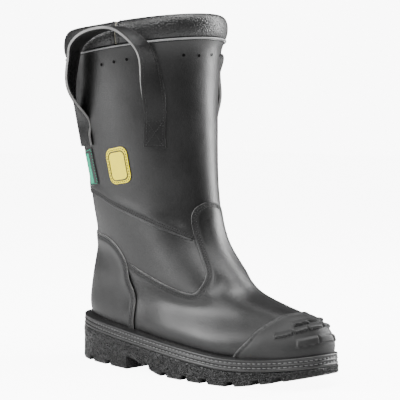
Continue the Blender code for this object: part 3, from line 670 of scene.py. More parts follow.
def cutPanel(name, runs, look, lifted=None):
    # a leather piece from runs of seam, each an open "edge", "tucked" under a neighbour, or plain
    outline = np.concatenate([run[:-1] for kind, run in runs])
    kinds = np.concatenate([[kind] * (len(run) - 1) for kind, run in runs])
    place = lastPoint(*outline.T)
    trees = {}
    for kind in ("edge", "tucked"):
        trees[kind] = treeOf(place[kinds == kind]) if (kinds == kind).any() else None
    allEdges = treeOf(place)
    levels = np.arange(outline[:, 0].min(), outline[:, 0].max(), look["levelStep"])
    angles = np.arange(outline[:, 1].min(), outline[:, 1].max(), look["angleStep"])
    grid = np.stack(np.meshgrid(levels + look["levelStep"] / 2, angles, indexing="ij"), -1).reshape(-1, 2)
    grid = grid[insideOf(outline, grid)]
    gridPlace = lastPoint(*grid.T)
    keep = distanceTo(allEdges, gridPlace) > look.get("clear", 1.6)
    if trees["edge"]:
        keep &= distanceTo(trees["edge"], gridPlace) > edgeRows[-1] + 1
    inner = [grid[keep]]
    for kind, run in runs:
        if kind != "edge":
            continue
        for distance in edgeRows:
            side = shifted(run, distance * look.get("turn", 1))[1:-1]
            side = side[insideOf(outline, side)]
            if len(side):
                inner.append(side[distanceTo(allEdges, lastPoint(*side.T)) > distance * 0.86])
    inner = np.concatenate(inner)
    scale = np.array(look.get("scale", (40, 1.1)))
    flat = np.concatenate([outline, inner]) * scale
    loop = list(range(len(outline)))
    ahead = np.roll(flat[loop], -1, 0)
    if (flat[loop, 0] * ahead[:, 1] - ahead[:, 0] * flat[loop, 1]).sum() < 0:
        loop.reverse()
    made = delaunay_2d_cdt([Vector(point) for point in flat], [], [loop], 1, 1e-6)
    spots = np.array([tuple(v) for v in made[0]]) / scale
    triangles = np.array([face for face in made[2] if len(face) == 3])
    base = lastPoint(*spots.T)
    normal = lastNormal(*spots.T)
    if look.get("wraps"):
        # the two ends meet at the back of the leg
        seen = {}
        same = np.array([seen.setdefault(tuple(np.round(point / mm, 2)), i) for i, point in enumerate(base)])
        triangles = same[triangles]
        triangles = triangles[(triangles[:, 0] != triangles[:, 1]) & (triangles[:, 1] != triangles[:, 2])
                              & (triangles[:, 0] != triangles[:, 2])]
    used, triangles = np.unique(triangles, return_inverse=True)
    triangles = triangles.reshape(-1, 3)
    spots, base, normal = spots[used], base[used], normal[used]
    corners = base[triangles]
    facing = np.cross(corners[:, 1] - corners[:, 0], corners[:, 2] - corners[:, 0])
    wrong = (facing * normal[triangles[:, 0]]).sum(1) < 0
    triangles[wrong] = triangles[wrong][:, ::-1]
    toEdge = distanceTo(trees["edge"], base) if trees["edge"] else np.full(len(base), 99.0)
    toTuck = distanceTo(trees["tucked"], base) if trees["tucked"] else np.full(len(base), 99.0)
    lift = np.full(len(base), float(look.get("base", 0)))
    lift += look.get("edgeLift", upper["overlap"]) * (1 - smooth((toEdge - 5) / 13))
    lift -= 0.8 * (1 - smooth((toTuck - 2.6) / 2))
    # stitch rows: the surface is pressed in here, and the same mask is stored as "sewn" to paint near-black shade
    # along the rows
    pressed = np.zeros(len(base))
    for distance in look.get("rows", ()):
        pressed = np.maximum(pressed, np.exp(-(((toEdge - distance) / 1.0) ** 2)))
    lift -= 0.4 * pressed
    if lifted:
        lift = lifted(spots, base, lift, toEdge)
    top = base + normal * lift[:, None] * mm
    if look.get("sways", True):
        top += normal * sway(base)[:, None]
    ends = np.concatenate([triangles[:, [0, 1]], triangles[:, [1, 2]], triangles[:, [2, 0]]])
    code = ends[:, 0] * len(top) + ends[:, 1]
    border = ends[~np.isin(code, ends[:, 1] * len(top) + ends[:, 0])]
    out = np.zeros_like(top)
    sideways = unit(np.cross(unit(top[border[:, 1]] - top[border[:, 0]]), normal[border[:, 0]]))
    np.add.at(out, border[:, 0], sideways)
    np.add.at(out, border[:, 1], sideways)
    rim = np.unique(border)
    push = unit(out[rim]) * 0.3 * mm
    thick = look.get("thickness", upper["leather"])
    count, around = len(top), len(rim)
    where = np.zeros(count, int)
    where[rim] = np.arange(around)
    shoulder = top[rim] + push - normal[rim] * 0.35 * mm
    foot = top[rim] + push - normal[rim] * thick * mm
    back = top - normal * thick * mm
    points = np.concatenate([top, shoulder, foot, back])
    faces, slots = [list(t) for t in triangles], [0] * len(triangles)
    footStart, backStart = count + around, count + 2 * around
    backIndex = backStart + np.arange(count)
    backIndex[rim] = footStart + where[rim]
    faces += [[backIndex[c], backIndex[b], backIndex[a]] for a, b, c in triangles]
    slots += [0] * len(triangles)
    for a, b in border:
        p, q = where[a], where[b]
        faces.append([b, a, count + p, count + q])
        faces.append([count + q, count + p, footStart + p, footStart + q])
        slots += [0, 1]
    rimValue = np.concatenate([np.clip(1 - toEdge / 4.5, 0, 1), np.ones(2 * around), np.zeros(count)])
    keepUsed = np.unique(np.concatenate([np.array(face) for face in faces]))
    renumber = np.zeros(len(points), int)
    renumber[keepUsed] = np.arange(len(keepUsed))
    faces = [[int(renumber[i]) for i in face] for face in faces]
    coatings = (look["finish"], look.get("edgeFinish", finish["cutEdge"]))
    obj = newObject(name, points[keepUsed], faces, coatings, slots)
    held = obj.data.attributes.new("rim", "FLOAT", "POINT")
    held.data.foreach_set("value", rimValue[keepUsed].astype(np.float32))
    # "sewn" carries the stitch-row mask to the leather finish, which paints it near black as shade and makes it duller
    sewn = obj.data.attributes.new("sewn", "FLOAT", "POINT")
    rowShadeValue = np.concatenate([pressed, np.zeros(2 * around + count)])
    sewn.data.foreach_set("value", rowShadeValue[keepUsed].astype(np.float32))
    return finishMesh(obj, 50)


def surfaceOf(*objects):
    points, faces = [], []
    for obj in objects:
        start = len(points)
        points.extend(v.co.copy() for v in obj.data.vertices)
        faces.extend([start + i for i in p.vertices] for p in obj.data.polygons)
    return BVHTree.FromPolygons(points, faces)


def seated(surface, seam, rise=0.12):
    # points of a seam put down on the leather from outside
    level, angle = seam.T
    start = lastPoint(level, angle)
    normal = lastNormal(level, angle)
    found = []
    for point, up in zip(start, normal):
        hit = surface.ray_cast(Vector(point + up * 9 * mm), -Vector(up), 14 * mm)[0]
        if hit:
            found.append(np.array(hit) + up * rise * mm)
    return np.array(found)


def mirrored(points):
    return tuple((level, -angle) for level, angle in reversed(points))


def bothSides(points, front=None):
    # outer side's points, then the same on the inner side, from one end round to the other
    return tuple(points) + ((front,) if front else ()) + mirrored(points)


seams = {
    "shaftOuter": ((6.3, -180), (6.29, -155), (6.22, -125), (6.03, -106), (5.79, -87), (5.58, -70.5),
                   (5.40, -57), (5.24, -43), (5.10, -29.5)),
    "vampWing": ((4.03, -103.5), (3.88, -98), (3.70, -91), (3.45, -81.5), (3.16, -74), (2.94, -67),
                 (2.98, -60), (3.23, -52.5), (3.60, -45), (3.98, -38.5), (4.30, -34.6), (4.64, -31.6),
                 (4.96, -29.4), (5.28, -28.4), (5.57, -27.8), (5.78, -26), (5.93, -22), (6.02, -16.5),
                 (6.08, -9)),
    "heelEdge": ((0, -107.5), (0.5, -107.5), (1.2, -107.3), (1.9, -106.6), (2.6, -105), (3.23, -103.2),
                 (3.75, -103), (4.15, -104.8), (4.42, -108), (4.62, -112.8), (4.75, -121), (4.78, -134),
                 (4.78, -157)),
    "scuffEdge": ((0, -61.5), (0.5, -58), (0.93, -53.5), (1.33, -49), (1.62, -43), (1.93, -32.5),
                  (2.15, -17)),
}
pitch, stitchLength, threadThickness = 2.9, 2.2, 0.95


def turned(seam):
    # the same seam with its angles counted round the back, from 0 to 360
    return np.stack([seam[:, 0], np.where(seam[:, 1] < 0, seam[:, 1] + 360, seam[:, 1])], 1)


shaftSeam = seamThrough(seams["shaftOuter"])
shaftSeamInner = seamThrough(mirrored(seams["shaftOuter"]))
wingSeam = seamThrough(bothSides(seams["vampWing"], (6.1, 0)))
heelSeam = seamThrough(tuple((l, -a) for l, a in seams["heelEdge"]) + ((4.78, 180),)
                       + tuple((l, 360 + a) for l, a in reversed(seams["heelEdge"])))
scuffSeam = seamThrough(bothSides(seams["scuffEdge"], (2.2, 0)))
under = upper["underlap"]


def shaftLift(spots, base, lift, toEdge):
    # the lower edge sinks where the vamp covers it
    covered = 1 - smooth((np.abs(spots[:, 1]) - 27) / 12)
    low = 1 - smooth((spots[:, 0] - 6.0) / 0.5)
    return lift - upper["overlap"] * covered * low * (1 - smooth((toEdge - 5) / 13))


def vampLift(spots, base, lift, toEdge):
    # the rear end sinks under the heel patch
    return lift - upper["overlap"] * smooth((np.abs(spots[:, 1]) - 92) / 12)


topLevel = 9.965
shaft = cutPanel("shaftLeather", (
    ("edge", shaftSeam),
    ("tucked", seamThrough(((5.10, -29.5), (5.12, -23), (5.6, -19), (5.88, -9), (5.9, 0), (5.88, 9), (5.6, 19),
                            (5.12, 23), (5.10, 29.5)))),
    ("edge", shaftSeamInner),
    ("plain", levelRun((6.3, topLevel), 180, 180)),
    ("plain", levelRun((topLevel, topLevel), 180, -180)),
    ("plain", levelRun((topLevel, 6.3), -180, -180)),
), {"finish": finish["leather"], "levelStep": 0.07, "angleStep": 2.6, "wraps": True, "rows": upper["rowDistances"],
    "clear": 1.4}, shaftLift)
give(shaft, "boot", "leather_black", "shaft_leather")

quarter = cutPanel("quarterLeather", (
    ("tucked", turned(shifted(shaftSeamInner, under))[1:]),
    ("tucked", turned(shifted(shaftSeam, under))[:-1]),
    ("tucked", turned(shifted(seamThrough(seams["vampWing"][:14]), -under))[::-1]),
    ("tucked", shifted(seamThrough(tuple((l, 360 + a) for l, a in seams["heelEdge"][7:]) + ((4.78, 180),)
                                   + tuple((l, -a) for l, a in reversed(seams["heelEdge"][7:]))), under)),
    ("tucked", shifted(seamThrough(mirrored(seams["vampWing"][:14])), -under)[::-1]),
), {"finish": finish["leather"], "levelStep": 0.09, "angleStep": 2.4, "base": 0})
give(quarter, "boot", "leather_black", "quarter")

heelUnder = shifted(seamThrough(seams["heelEdge"][:8]), under)
heelUnderInner = shifted(seamThrough(mirrored(seams["heelEdge"][:8])), under)
vamp = cutPanel("vampLeather", (
    ("edge", wingSeam[::-1]),
    ("tucked", heelUnder[::-1]),
    ("plain", levelRun((0, 0), -113, 113)),
    ("tucked", heelUnderInner[::-1]),
), {"finish": finish["leather"], "levelStep": 0.14, "angleStep": 1.5, "scale": (22, 1.6),
    "rows": upper["rowDistances"], "clear": 1.5}, vampLift)
give(vamp, "boot", "leather_black", "vamp")

heelPatch = cutPanel("heelPatch", (
    ("edge", heelSeam),
    ("plain", levelRun((0, 0), 252.5, 107.5)),
), {"finish": finish["leather"], "levelStep": 0.14, "angleStep": 2.2, "scale": (20, 1.0), "turn": -1,
    "rows": upper["rowDistances"]})
give(heelPatch, "boot", "leather_black", "heel_patch")
print("leather panels cut")

# rubber toe cap with stepped lips

toeCap = {
    "thickness": 3.0,
    "beadRise": 0.7,
    "footSwell": 2.6,
    # each lip: its rise, its flat height and the slope above it in mm, its lower line as (level, angle)
    # points, and the notches cut in it as (angle, half width)
    "lips": (
        (2.6, 0.8, 5, ((1.58, -25), (1.68, -13), (1.73, -3), (1.72, 8), (1.64, 20)), ((8, 0.6),)),
        (2.6, 0.8, 5, ((1.07, -39), (1.18, -31), (1.29, -25), (1.39, -17), (1.45, -8), (1.46, 4), (1.40, 14),
                       (1.22, 28), (1.07, 39)), ((-26, 0.45), (-13.5, 0.45), (1.5, 0.45), (16, 0.45), (28, 0.45))),
        (1.5, 4.5, 1.6, ((0.66, -25), (0.76, -13), (0.82, -2), (0.79, 8), (0.68, 21)), ((-6.5, 0.6), (9.5, 0.6))),
    ),
}


def capLift(spots, base, lift, toEdge):
    raised = np.zeros(len(spots))
    for lipRise, flat, reach, line, notches in toeCap["lips"]:
        line = np.array(line)
        low = np.interp(spots[:, 1], line[:, 1], line[:, 0])
        rise = lastSteps(low, spots[:, 1])[0]
        above = (spots[:, 0] - low) * np.linalg.norm(rise, axis=1) / mm
        ends = smooth((spots[:, 1] - line[0, 1]) / 1.4) * smooth((line[-1, 1] - spots[:, 1]) / 1.4)
        lip = smooth(1 - (above - flat) / reach) * smooth((above + 0.6) / 0.6)
        for angle, half in notches:
            lip *= smooth((np.abs(spots[:, 1] - angle) - half) / 0.7)
        raised = np.maximum(raised, lip * ends * lipRise)
    bead = np.exp(-(((toEdge - 1.3) / 1.1) ** 2)) - 0.5 * np.exp(-(((toEdge - 3.6) / 1.0) ** 2))
    thin = 1.3 * (1 - smooth(toEdge / 14))
    swell = toeCap["footSwell"] * (1 - smooth(spots[:, 0] / 1.3)) * smooth((52 - np.abs(spots[:, 1])) / 20)
    return lift - thin + swell + raised + toeCap["beadRise"] * bead


scuff = cutPanel("rubberToeCap", (
    ("edge", scuffSeam),
    ("plain", levelRun((0, 0), 61.5, -61.5)),
), {"finish": finish["toeCap"], "edgeFinish": finish["toeCap"], "levelStep": 0.045, "angleStep": 0.55,
    "scale": (22, 1.7), "turn": -1, "base": toeCap["thickness"] - 0.5, "edgeLift": 0, "thickness": 3.0,
    "clear": 0.9, "sways": False}, capLift)
give(scuff, "boot", "rubber_cap", "toe_scuff_cap")
print("toe cap moulded")


# badge and label on the outer side

def patchOutline(centre, width, height, radius, slant=0.0, step=1.0):
    # rounded rectangle in mm, laid on the surface round a (level, angle) centre
    rise, around = lastSteps(np.array(centre[0]), np.array(centre[1]))
    points = []
    for corner, (sx, sy) in enumerate(((1, 1), (-1, 1), (-1, -1), (1, -1))):
        for part in np.linspace(0, 1, 7):
            turn = (corner + part) * math.pi / 2
            points.append((sx * (width / 2 - radius) + radius * math.cos(turn),
                           sy * (height / 2 - radius) + radius * math.sin(turn)))
    points.append(points[0])
    points = np.array(points)
    dense = []
    for a, b in zip(points[:-1], points[1:]):
        count = max(int(np.linalg.norm(b - a) / step), 1)
        dense.extend(a + (b - a) * i / count for i in range(count))
    dense.append(points[0])
    dense = np.array(dense)
    up = dense[:, 1] + dense[:, 0] * slant
    level = centre[0] + up * mm / np.linalg.norm(rise)
    angle = centre[1] + dense[:, 0] * mm / np.linalg.norm(around)
    return np.stack([level, angle], 1)


def flatPatch(name, outline, lift, thickness, coating, slot, nodes=(), edge=None):
    made = cutPanel(name, (("edge", outline),), {
        "finish": coating, "edgeFinish": edge or coating, "levelStep": 0.06, "angleStep": 2.2, "base": lift,
        "edgeLift": 0, "thickness": thickness, "turn": 1, "scale": (44, 1.15)})
    return give(made, "boot", slot, *nodes)


def raisedLine(name, outlines, lift, coating, slot, width=0.9):
    # thin raised band that follows closed outlines on the leather
    points, faces = [], []
    for outline in outlines:
        spots = outline[:-1]
        place = lastPoint(*spots.T)
        normal = lastNormal(*spots.T)
        place = place + normal * (sway(place) + lift * mm)[:, None]
        along = unit(np.roll(place, -1, 0) - np.roll(place, 1, 0))
        side = np.cross(normal, along)
        count, start = len(place), len(points)
        for share, up in ((-1, 0), (-1, 0.25), (-0.6, 0.42), (0.6, 0.42), (1, 0.25), (1, 0)):
            out = width * share
            points.extend(place + side * out / 2 * mm + normal * up * mm)
        for ring in range(6):
            other = (ring + 1) % 6
            for i in range(count):
                j = (i + 1) % count
                faces.append((start + ring * count + i, start + ring * count + j,
                              start + other * count + j, start + other * count + i))
    return give(finishMesh(newObject(name, points, faces, (coating,)), 60), "boot", slot)


badge = {"centre": (6.96, -84), "width": 29, "height": 37, "radius": 8, "slant": 0.12}
label = {"centre": (6.93, -122), "width": 23, "height": 39, "radius": 2, "slant": 0.1}


def outlineOf(mark, inset=0, radius=None, centre=None):
    # outline of a sewn mark, drawn inset by that much in all
    corner = mark["radius"] if radius is None else radius
    return patchOutline(centre or mark["centre"], mark["width"] - inset, mark["height"] - inset, corner, mark["slant"])


flatPatch("badgePatch", outlineOf(badge),
          1.15, 1.0, finish["yellow"], "badge_yellow", ("side_badge",), finish["badgeBlack"])
raisedLine("badgeLine", [outlineOf(badge, 7, 5.5)],
           1.1, finish["badgeBlack"], "badge_yellow", 1.3)
flatPatch("rearLabelPatch", outlineOf(label),
          1.15, 1.0, finish["badgeBlack"], "label_green", ("rear_label",))
backLabel = (label["centre"][0] - 0.03, label["centre"][1] - 3.6)
flatPatch("rearLabelPanel", patchOutline(backLabel, label["width"] - 11, label["height"] - 7, 1.2, label["slant"]),
          1.4, 0.6, finish["green"], "label_green")
raisedLine("rearLabelLine", [outlineOf(label, 3, 1.5)],
           1.05, finish["green"], "label_green", 0.7)
print("badge and label sewn on")


# stitches and vents of the upper

leatherSurface = surfaceOf(shaft, quarter, vamp, heelPatch)
lines = []
for seam, way in ((shaftSeam[:-1], 1), (shaftSeamInner[1:], 1), (wingSeam, -1), (heelSeam, -1)):
    for distance in upper["rowDistances"]:
        lines.append(seated(leatherSurface, shifted(seam, way * distance)[1:-1], 0.05))
pipingRow = np.stack([np.full(361, 9.87), np.linspace(-180, 180, 361)], 1)
lines.append(seated(leatherSurface, pipingRow, 0.05))
for patch, inset in ((badge, 1.5), (label, 1.2)):
    around = patchOutline(patch["centre"], patch["width"] - 2 * inset, patch["height"] - 2 * inset,
                          max(patch["radius"] - inset, 0.8), patch["slant"])
    lines.append(seated(leatherSurface, around, 1.25))
upperStitches = stitchObject("upperStitches", lines, finish["thread"], pitch, stitchLength, threadThickness)
give(upperStitches, "boot", "strap_leather")

vents = {"width": 3.2, "rim": 4.6, "outer": ((9.08, -84), (9.12, -73.5), (9.15, -63.5)),
         "front": ((9.15, -20), (9.12, -5.5), (9.16, 10.5), (9.2, 29.5))}
ventSpots = np.array(vents["outer"] + tuple((l, -a) for l, a in vents["outer"]) + vents["front"])
ventPlace = seated(leatherSurface, ventSpots, 0.0)
ventFacing = lastNormal(*ventSpots.T)
ventRims = studObject("ventRims", ventPlace, ventFacing, finish["leather"], vents["rim"], vents["rim"], 0.5, 20)
give(ventRims, "boot", "leather_black")
# the vent holes are not cut: near-black discs on the leather stand for the shade inside them
ventHoleShadeDiscs = studObject("ventHoleShadeDiscs", ventPlace, ventFacing, finish["dark"], vents["width"], vents["width"], 0.62, 16)
give(ventHoleShadeDiscs, "boot", "leather_black")
print("upper stitched and vented")


# sweeps round the boot

def evenRing(level, count, angles=np.linspace(0, 360, 2881)):
    ring = lastPoint(level, angles)
    travelled = np.concatenate([[0], np.cumsum(np.linalg.norm(np.diff(ring, axis=0), axis=1))])
    at = np.linspace(0, travelled[-1], count, endpoint=False)
    return np.stack([np.interp(at, travelled, ring[:, i]) for i in range(3)], 1)


def pushedOut(ring, distance):
    along = np.roll(ring, -1, 0) - np.roll(ring, 1, 0)
    normal = np.stack([along[:, 1], -along[:, 0], np.zeros(len(ring))], 1)
    return ring + unit(normal) * distance * mm


def evenHeight(x):
    return np.ones(len(x))


def sweptRings(ring, profile, height, taller=evenHeight):
    rings = []
    for out, up in profile:
        moved = pushedOut(ring, out)
        moved[:, 2] = height(moved[:, 0]) + up * taller(moved[:, 0]) * mm
        rings.append(moved)
    return np.array(rings)


def ringMesh(name, rings, coating, angle=40, slots=None, finishes=None):
    count, around = rings.shape[:2]
    faces = []
    for i in range(count):
        j = (i + 1) % count
        for k in range(around):
            m = (k + 1) % around
            faces.append((i * around + k, i * around + m, j * around + m, j * around + k))
    return finishMesh(newObject(name, rings.reshape(-1, 3), faces, finishes or (coating,), slots), angle)


def curveThrough(points, count, closed=False):
    points = list(points)
    if closed:
        points = points[-3:] + points + points[:3]
    spline = splineThrough(points)
    if closed:
        return splineAt(spline, np.linspace(3, len(points) - 3, count, endpoint=False))
    return splineAt(spline, np.linspace(0, len(points) - 1, count))


piping = {"radius": 1.0, "out": 1.0, "up": 0.1, "sides": 12}
cordProfile = [(piping["out"] + piping["radius"] * math.cos(t), piping["up"] + piping["radius"] * math.sin(t))
               for t in np.linspace(0, 2 * math.pi, piping["sides"], endpoint=False)]
topRing = evenRing(last["top"], 260)
give(ringMesh("collarPiping", sweptRings(topRing, cordProfile, collarSeat), finish["piping"], 80),
     "boot", "piping_grey", "collar_piping")


# padded collar: filled by cloth simulation, then split at its side seams

collar = {
    # out from the shaft's edge and up from it, in mm
    "profile": ((0.4, 1.7), (2.5, 5.5), (3.5, 12.5), (2.6, 19.5), (-0.2, 24.3), (-4.1, 26.0), (-7.9, 24.3),
                (-9.3, 19.5), (-9.4, 12), (-8.0, 1.9), (-5.4, 1.3), (-2.2, 1.3)),
    "seam": 71,
    "seamGap": 0.25,
    "pressure": 4,
    "most": 2.6,
    "stations": 200,
    "rounds": 34,
}


def collarTaller(x):
    # the collar is a little taller at the back
    return 1 + 0.14 * smooth((placeX(95) - x) / 0.09)


def collarRings():
    profile = curveThrough(collar["profile"], collar["rounds"], closed=True)
    angles = np.linspace(-180, 180, collar["stations"], endpoint=False)
    ring = lastPoint(last["top"], angles)
    return angles, sweptRings(ring, profile, collarSeat, collarTaller)


def filledOut(rings):
    count, around = rings.shape[:2]
    obj = ringMesh("collarFilling", rings, finish["collarLeather"])
    pinned = obj.vertex_groups.new(name="pinned")
    profile = curveThrough(collar["profile"], collar["rounds"], closed=True)
    low = [i for i in range(count) if profile[i][1] < 3.4]
    pinned.add([i * around + k for i in low for k in range(around)], 1.0, "REPLACE")
    cloth = obj.modifiers.new("filling", "CLOTH")
    cloth.settings.quality = 6
    cloth.settings.mass = 0.2
    cloth.settings.tension_stiffness = 12
    cloth.settings.compression_stiffness = 12
    cloth.settings.shear_stiffness = 6
    cloth.settings.bending_stiffness = 0.8
    cloth.settings.use_pressure = True
    cloth.settings.uniform_pressure_force = collar["pressure"]
    cloth.settings.vertex_group_mass = "pinned"
    cloth.settings.effector_weights.gravity = 0
    cloth.point_cache.frame_start = 1
    cloth.point_cache.frame_end = 20
    for step in range(1, 21):
        bpy.context.scene.frame_set(step)
    graph = bpy.context.evaluated_depsgraph_get()
    filled = obj.evaluated_get(graph).to_mesh()
    after = np.array([tuple(v.co) for v in filled.vertices])
    bpy.data.objects.remove(obj, do_unlink=True)
    bpy.context.scene.frame_set(1)
    before = rings.reshape(-1, 3)
    move = after - before
    far = np.linalg.norm(move, axis=1, keepdims=True)
    move *= np.minimum(1, collar["most"] * mm / np.maximum(far, 1e-9))
    return (before + move).reshape(rings.shape)


def collarPiece(name, rings, angles, first, final, slotName, *nodes):
    # stretch of the collar between two angles, drawn in a little at its two seams
    wide = np.concatenate([angles - 360, angles, angles + 360])
    loops = np.concatenate([rings] * 3, axis=1)
    inner = wide[(wide > first + 1.2) & (wide < final - 1.2)]
    at = np.concatenate([[first, first + 0.25, first + 0.9], inner, [final - 0.9, final - 0.25, final]])
    tightness = {0: 0.9, 1: 0.955, 2: 0.985, len(at) - 3: 0.985, len(at) - 2: 0.955, len(at) - 1: 0.9}
    sections = []
    for n, angle in enumerate(at):
        k = np.searchsorted(wide, angle) - 1
        share = (angle - wide[k]) / (wide[k + 1] - wide[k])
        loop = loops[:, k] * (1 - share) + loops[:, k + 1] * share
        middle = loop.mean(0)
        sections.append(middle + (loop - middle) * tightness.get(n, 1))
    sections = np.array(sections)
    count, rounds = sections.shape[:2]
    faces = [tuple(range(rounds)), tuple(range((count - 1) * rounds, count * rounds))]
    for i in range(count - 1):
        for j in range(rounds):
            k = (j + 1) % rounds
            faces.append((i * rounds + j, i * rounds + k, (i + 1) * rounds + k, (i + 1) * rounds + j))
    obj = finishMesh(newObject(name, sections.reshape(-1, 3), faces, (finish["collarLeather"],)), 60)
    smoother = obj.modifiers.new("smoother", "SUBSURF")
    smoother.levels = smoother.render_levels = 1
    give(obj, "boot", slotName, *nodes)
    return obj


collarAngles, collarLoops = collarRings()
collarLoops = filledOut(collarLoops)
edge, gap = collar["seam"], collar["seamGap"]
collarPiece("collarFrontPad", collarLoops, collarAngles, -edge + gap, edge - gap,
            "leather_pebbled", "collar_front")
collarPiece("collarRearPad", collarLoops, collarAngles, edge + gap, 360 - edge - gap,
            "leather_pebbled", "collar_rear")
print("collar filled and closed")

collarLines = []
outsideRounds = [i for i, (out, up) in enumerate(curveThrough(collar["profile"], collar["rounds"], closed=True))
                 if out > -3.5 and 3 < up < 26]
for side in (-1, 1):
    for away in (-2.4, 2.4):
        angle = side * collar["seam"] + away
        k = int(np.argmin(np.abs(collarAngles - angle)))
        line = collarLoops[outsideRounds, k]
        out = unit(line - collarLoops[:, k].mean(0))
        collarLines.append(line + out * 0.1 * mm)
collarStitches = stitchObject("collarStitches", collarLines, finish["thread"], pitch, stitchLength, threadThickness)
give(collarStitches, "boot", "leather_pebbled")


# welt with its two moulded stitch rows

welt = {
    "stations": 460,
    "profile": ((-3, 0.9), (1.5, 0.9), (5.5, 0.3), (7.9, -0.4), (8.7, -1.2), (8.6, -2.1), (8.0, -2.6), (7.9, -3.2),
                (7.9, -4.6), (8.1, -5.1), (8.8, -5.5), (9.0, -6.1), (8.8, -6.7), (8.1, -7.1), (7.9, -7.6),
                (7.9, -9.0), (8.1, -9.4), (8.9, -9.8), (9.1, -10.6), (9.0, -11.8), (8.5, -12.5), (-11.5, -12.5),
                (-11.5, -0.3)),
    "rows": (-3.9, -8.3),
    "pitch": 5.2,
    "stitch": 3.9,
    "thickness": 1.5,
}
feather = evenRing(0, welt["stations"])
weltStrip = ringMesh("weltStrip", sweptRings(feather, welt["profile"], soleTop), finish["welt"], 60)
give(weltStrip, "boot", "rubber_sole", "welt_strip")
weltLines = []
for up in welt["rows"]:
    ring = sweptRings(feather, [(8.05, up)], soleTop)[0]
    weltLines.append(np.concatenate([ring, ring[:1]]))
# the moulded stitches use the lighter finish, a painted highlight
weltStitches = stitchObject("weltStitches", weltLines, finish["weltStitchHighlight"], welt["pitch"], welt["stitch"],
                            welt["thickness"])
give(weltStitches, "boot", "rubber_sole")
print("welt stitched")


# outsole

sole = {
    "out": 9,
    "heelFront": 50.5,
    "archHeight": 13,
    "archLength": 62,
    "toeSpring": 14,
    "weltHeight": 12.7,
    "treadDepth": 5,
    "centreDepth": 3.5,
    "grooves": (128, 156, 186, 213, 243, 269, 289),
    "heelGrooves": (-16, 17),
    "grooveHalf": 3.1,
    "draft": 2.3,
    "lugLength": 26,
    "chamfer": 1.0,
}


def treadHeight(x):
    return sole["toeSpring"] * np.clip((x - 196) / 78, 0, None) ** 1.3


def archHeight(x):
    along = (x - sole["heelFront"]) / sole["archLength"]
    arch = np.where(along < 0, 0, sole["archHeight"] * (1 - smooth(along)))
    return arch * smooth((x - sole["heelFront"] + 0.3) / 0.6) + treadHeight(x)


def grooveDepth(x, middles, depth):
    found = np.zeros(len(x))
    for middle in middles:
        inside = sole["grooveHalf"] + sole["draft"] - np.abs(x - middle)
        found = np.maximum(found, smooth(inside / sole["draft"]))
    return found * depth


def soleOutline():
    ring = pushedOut(evenRing(0, 1600), sole["out"]) / mm
    front, back = int(np.argmax(ring[:, 0])), int(np.argmin(ring[:, 0]))
    ring = np.roll(ring, -front, 0)
    back = (back - front) % len(ring)
    left = ring[:back + 1][::-1]
    right = ring[back:]
    return left, right


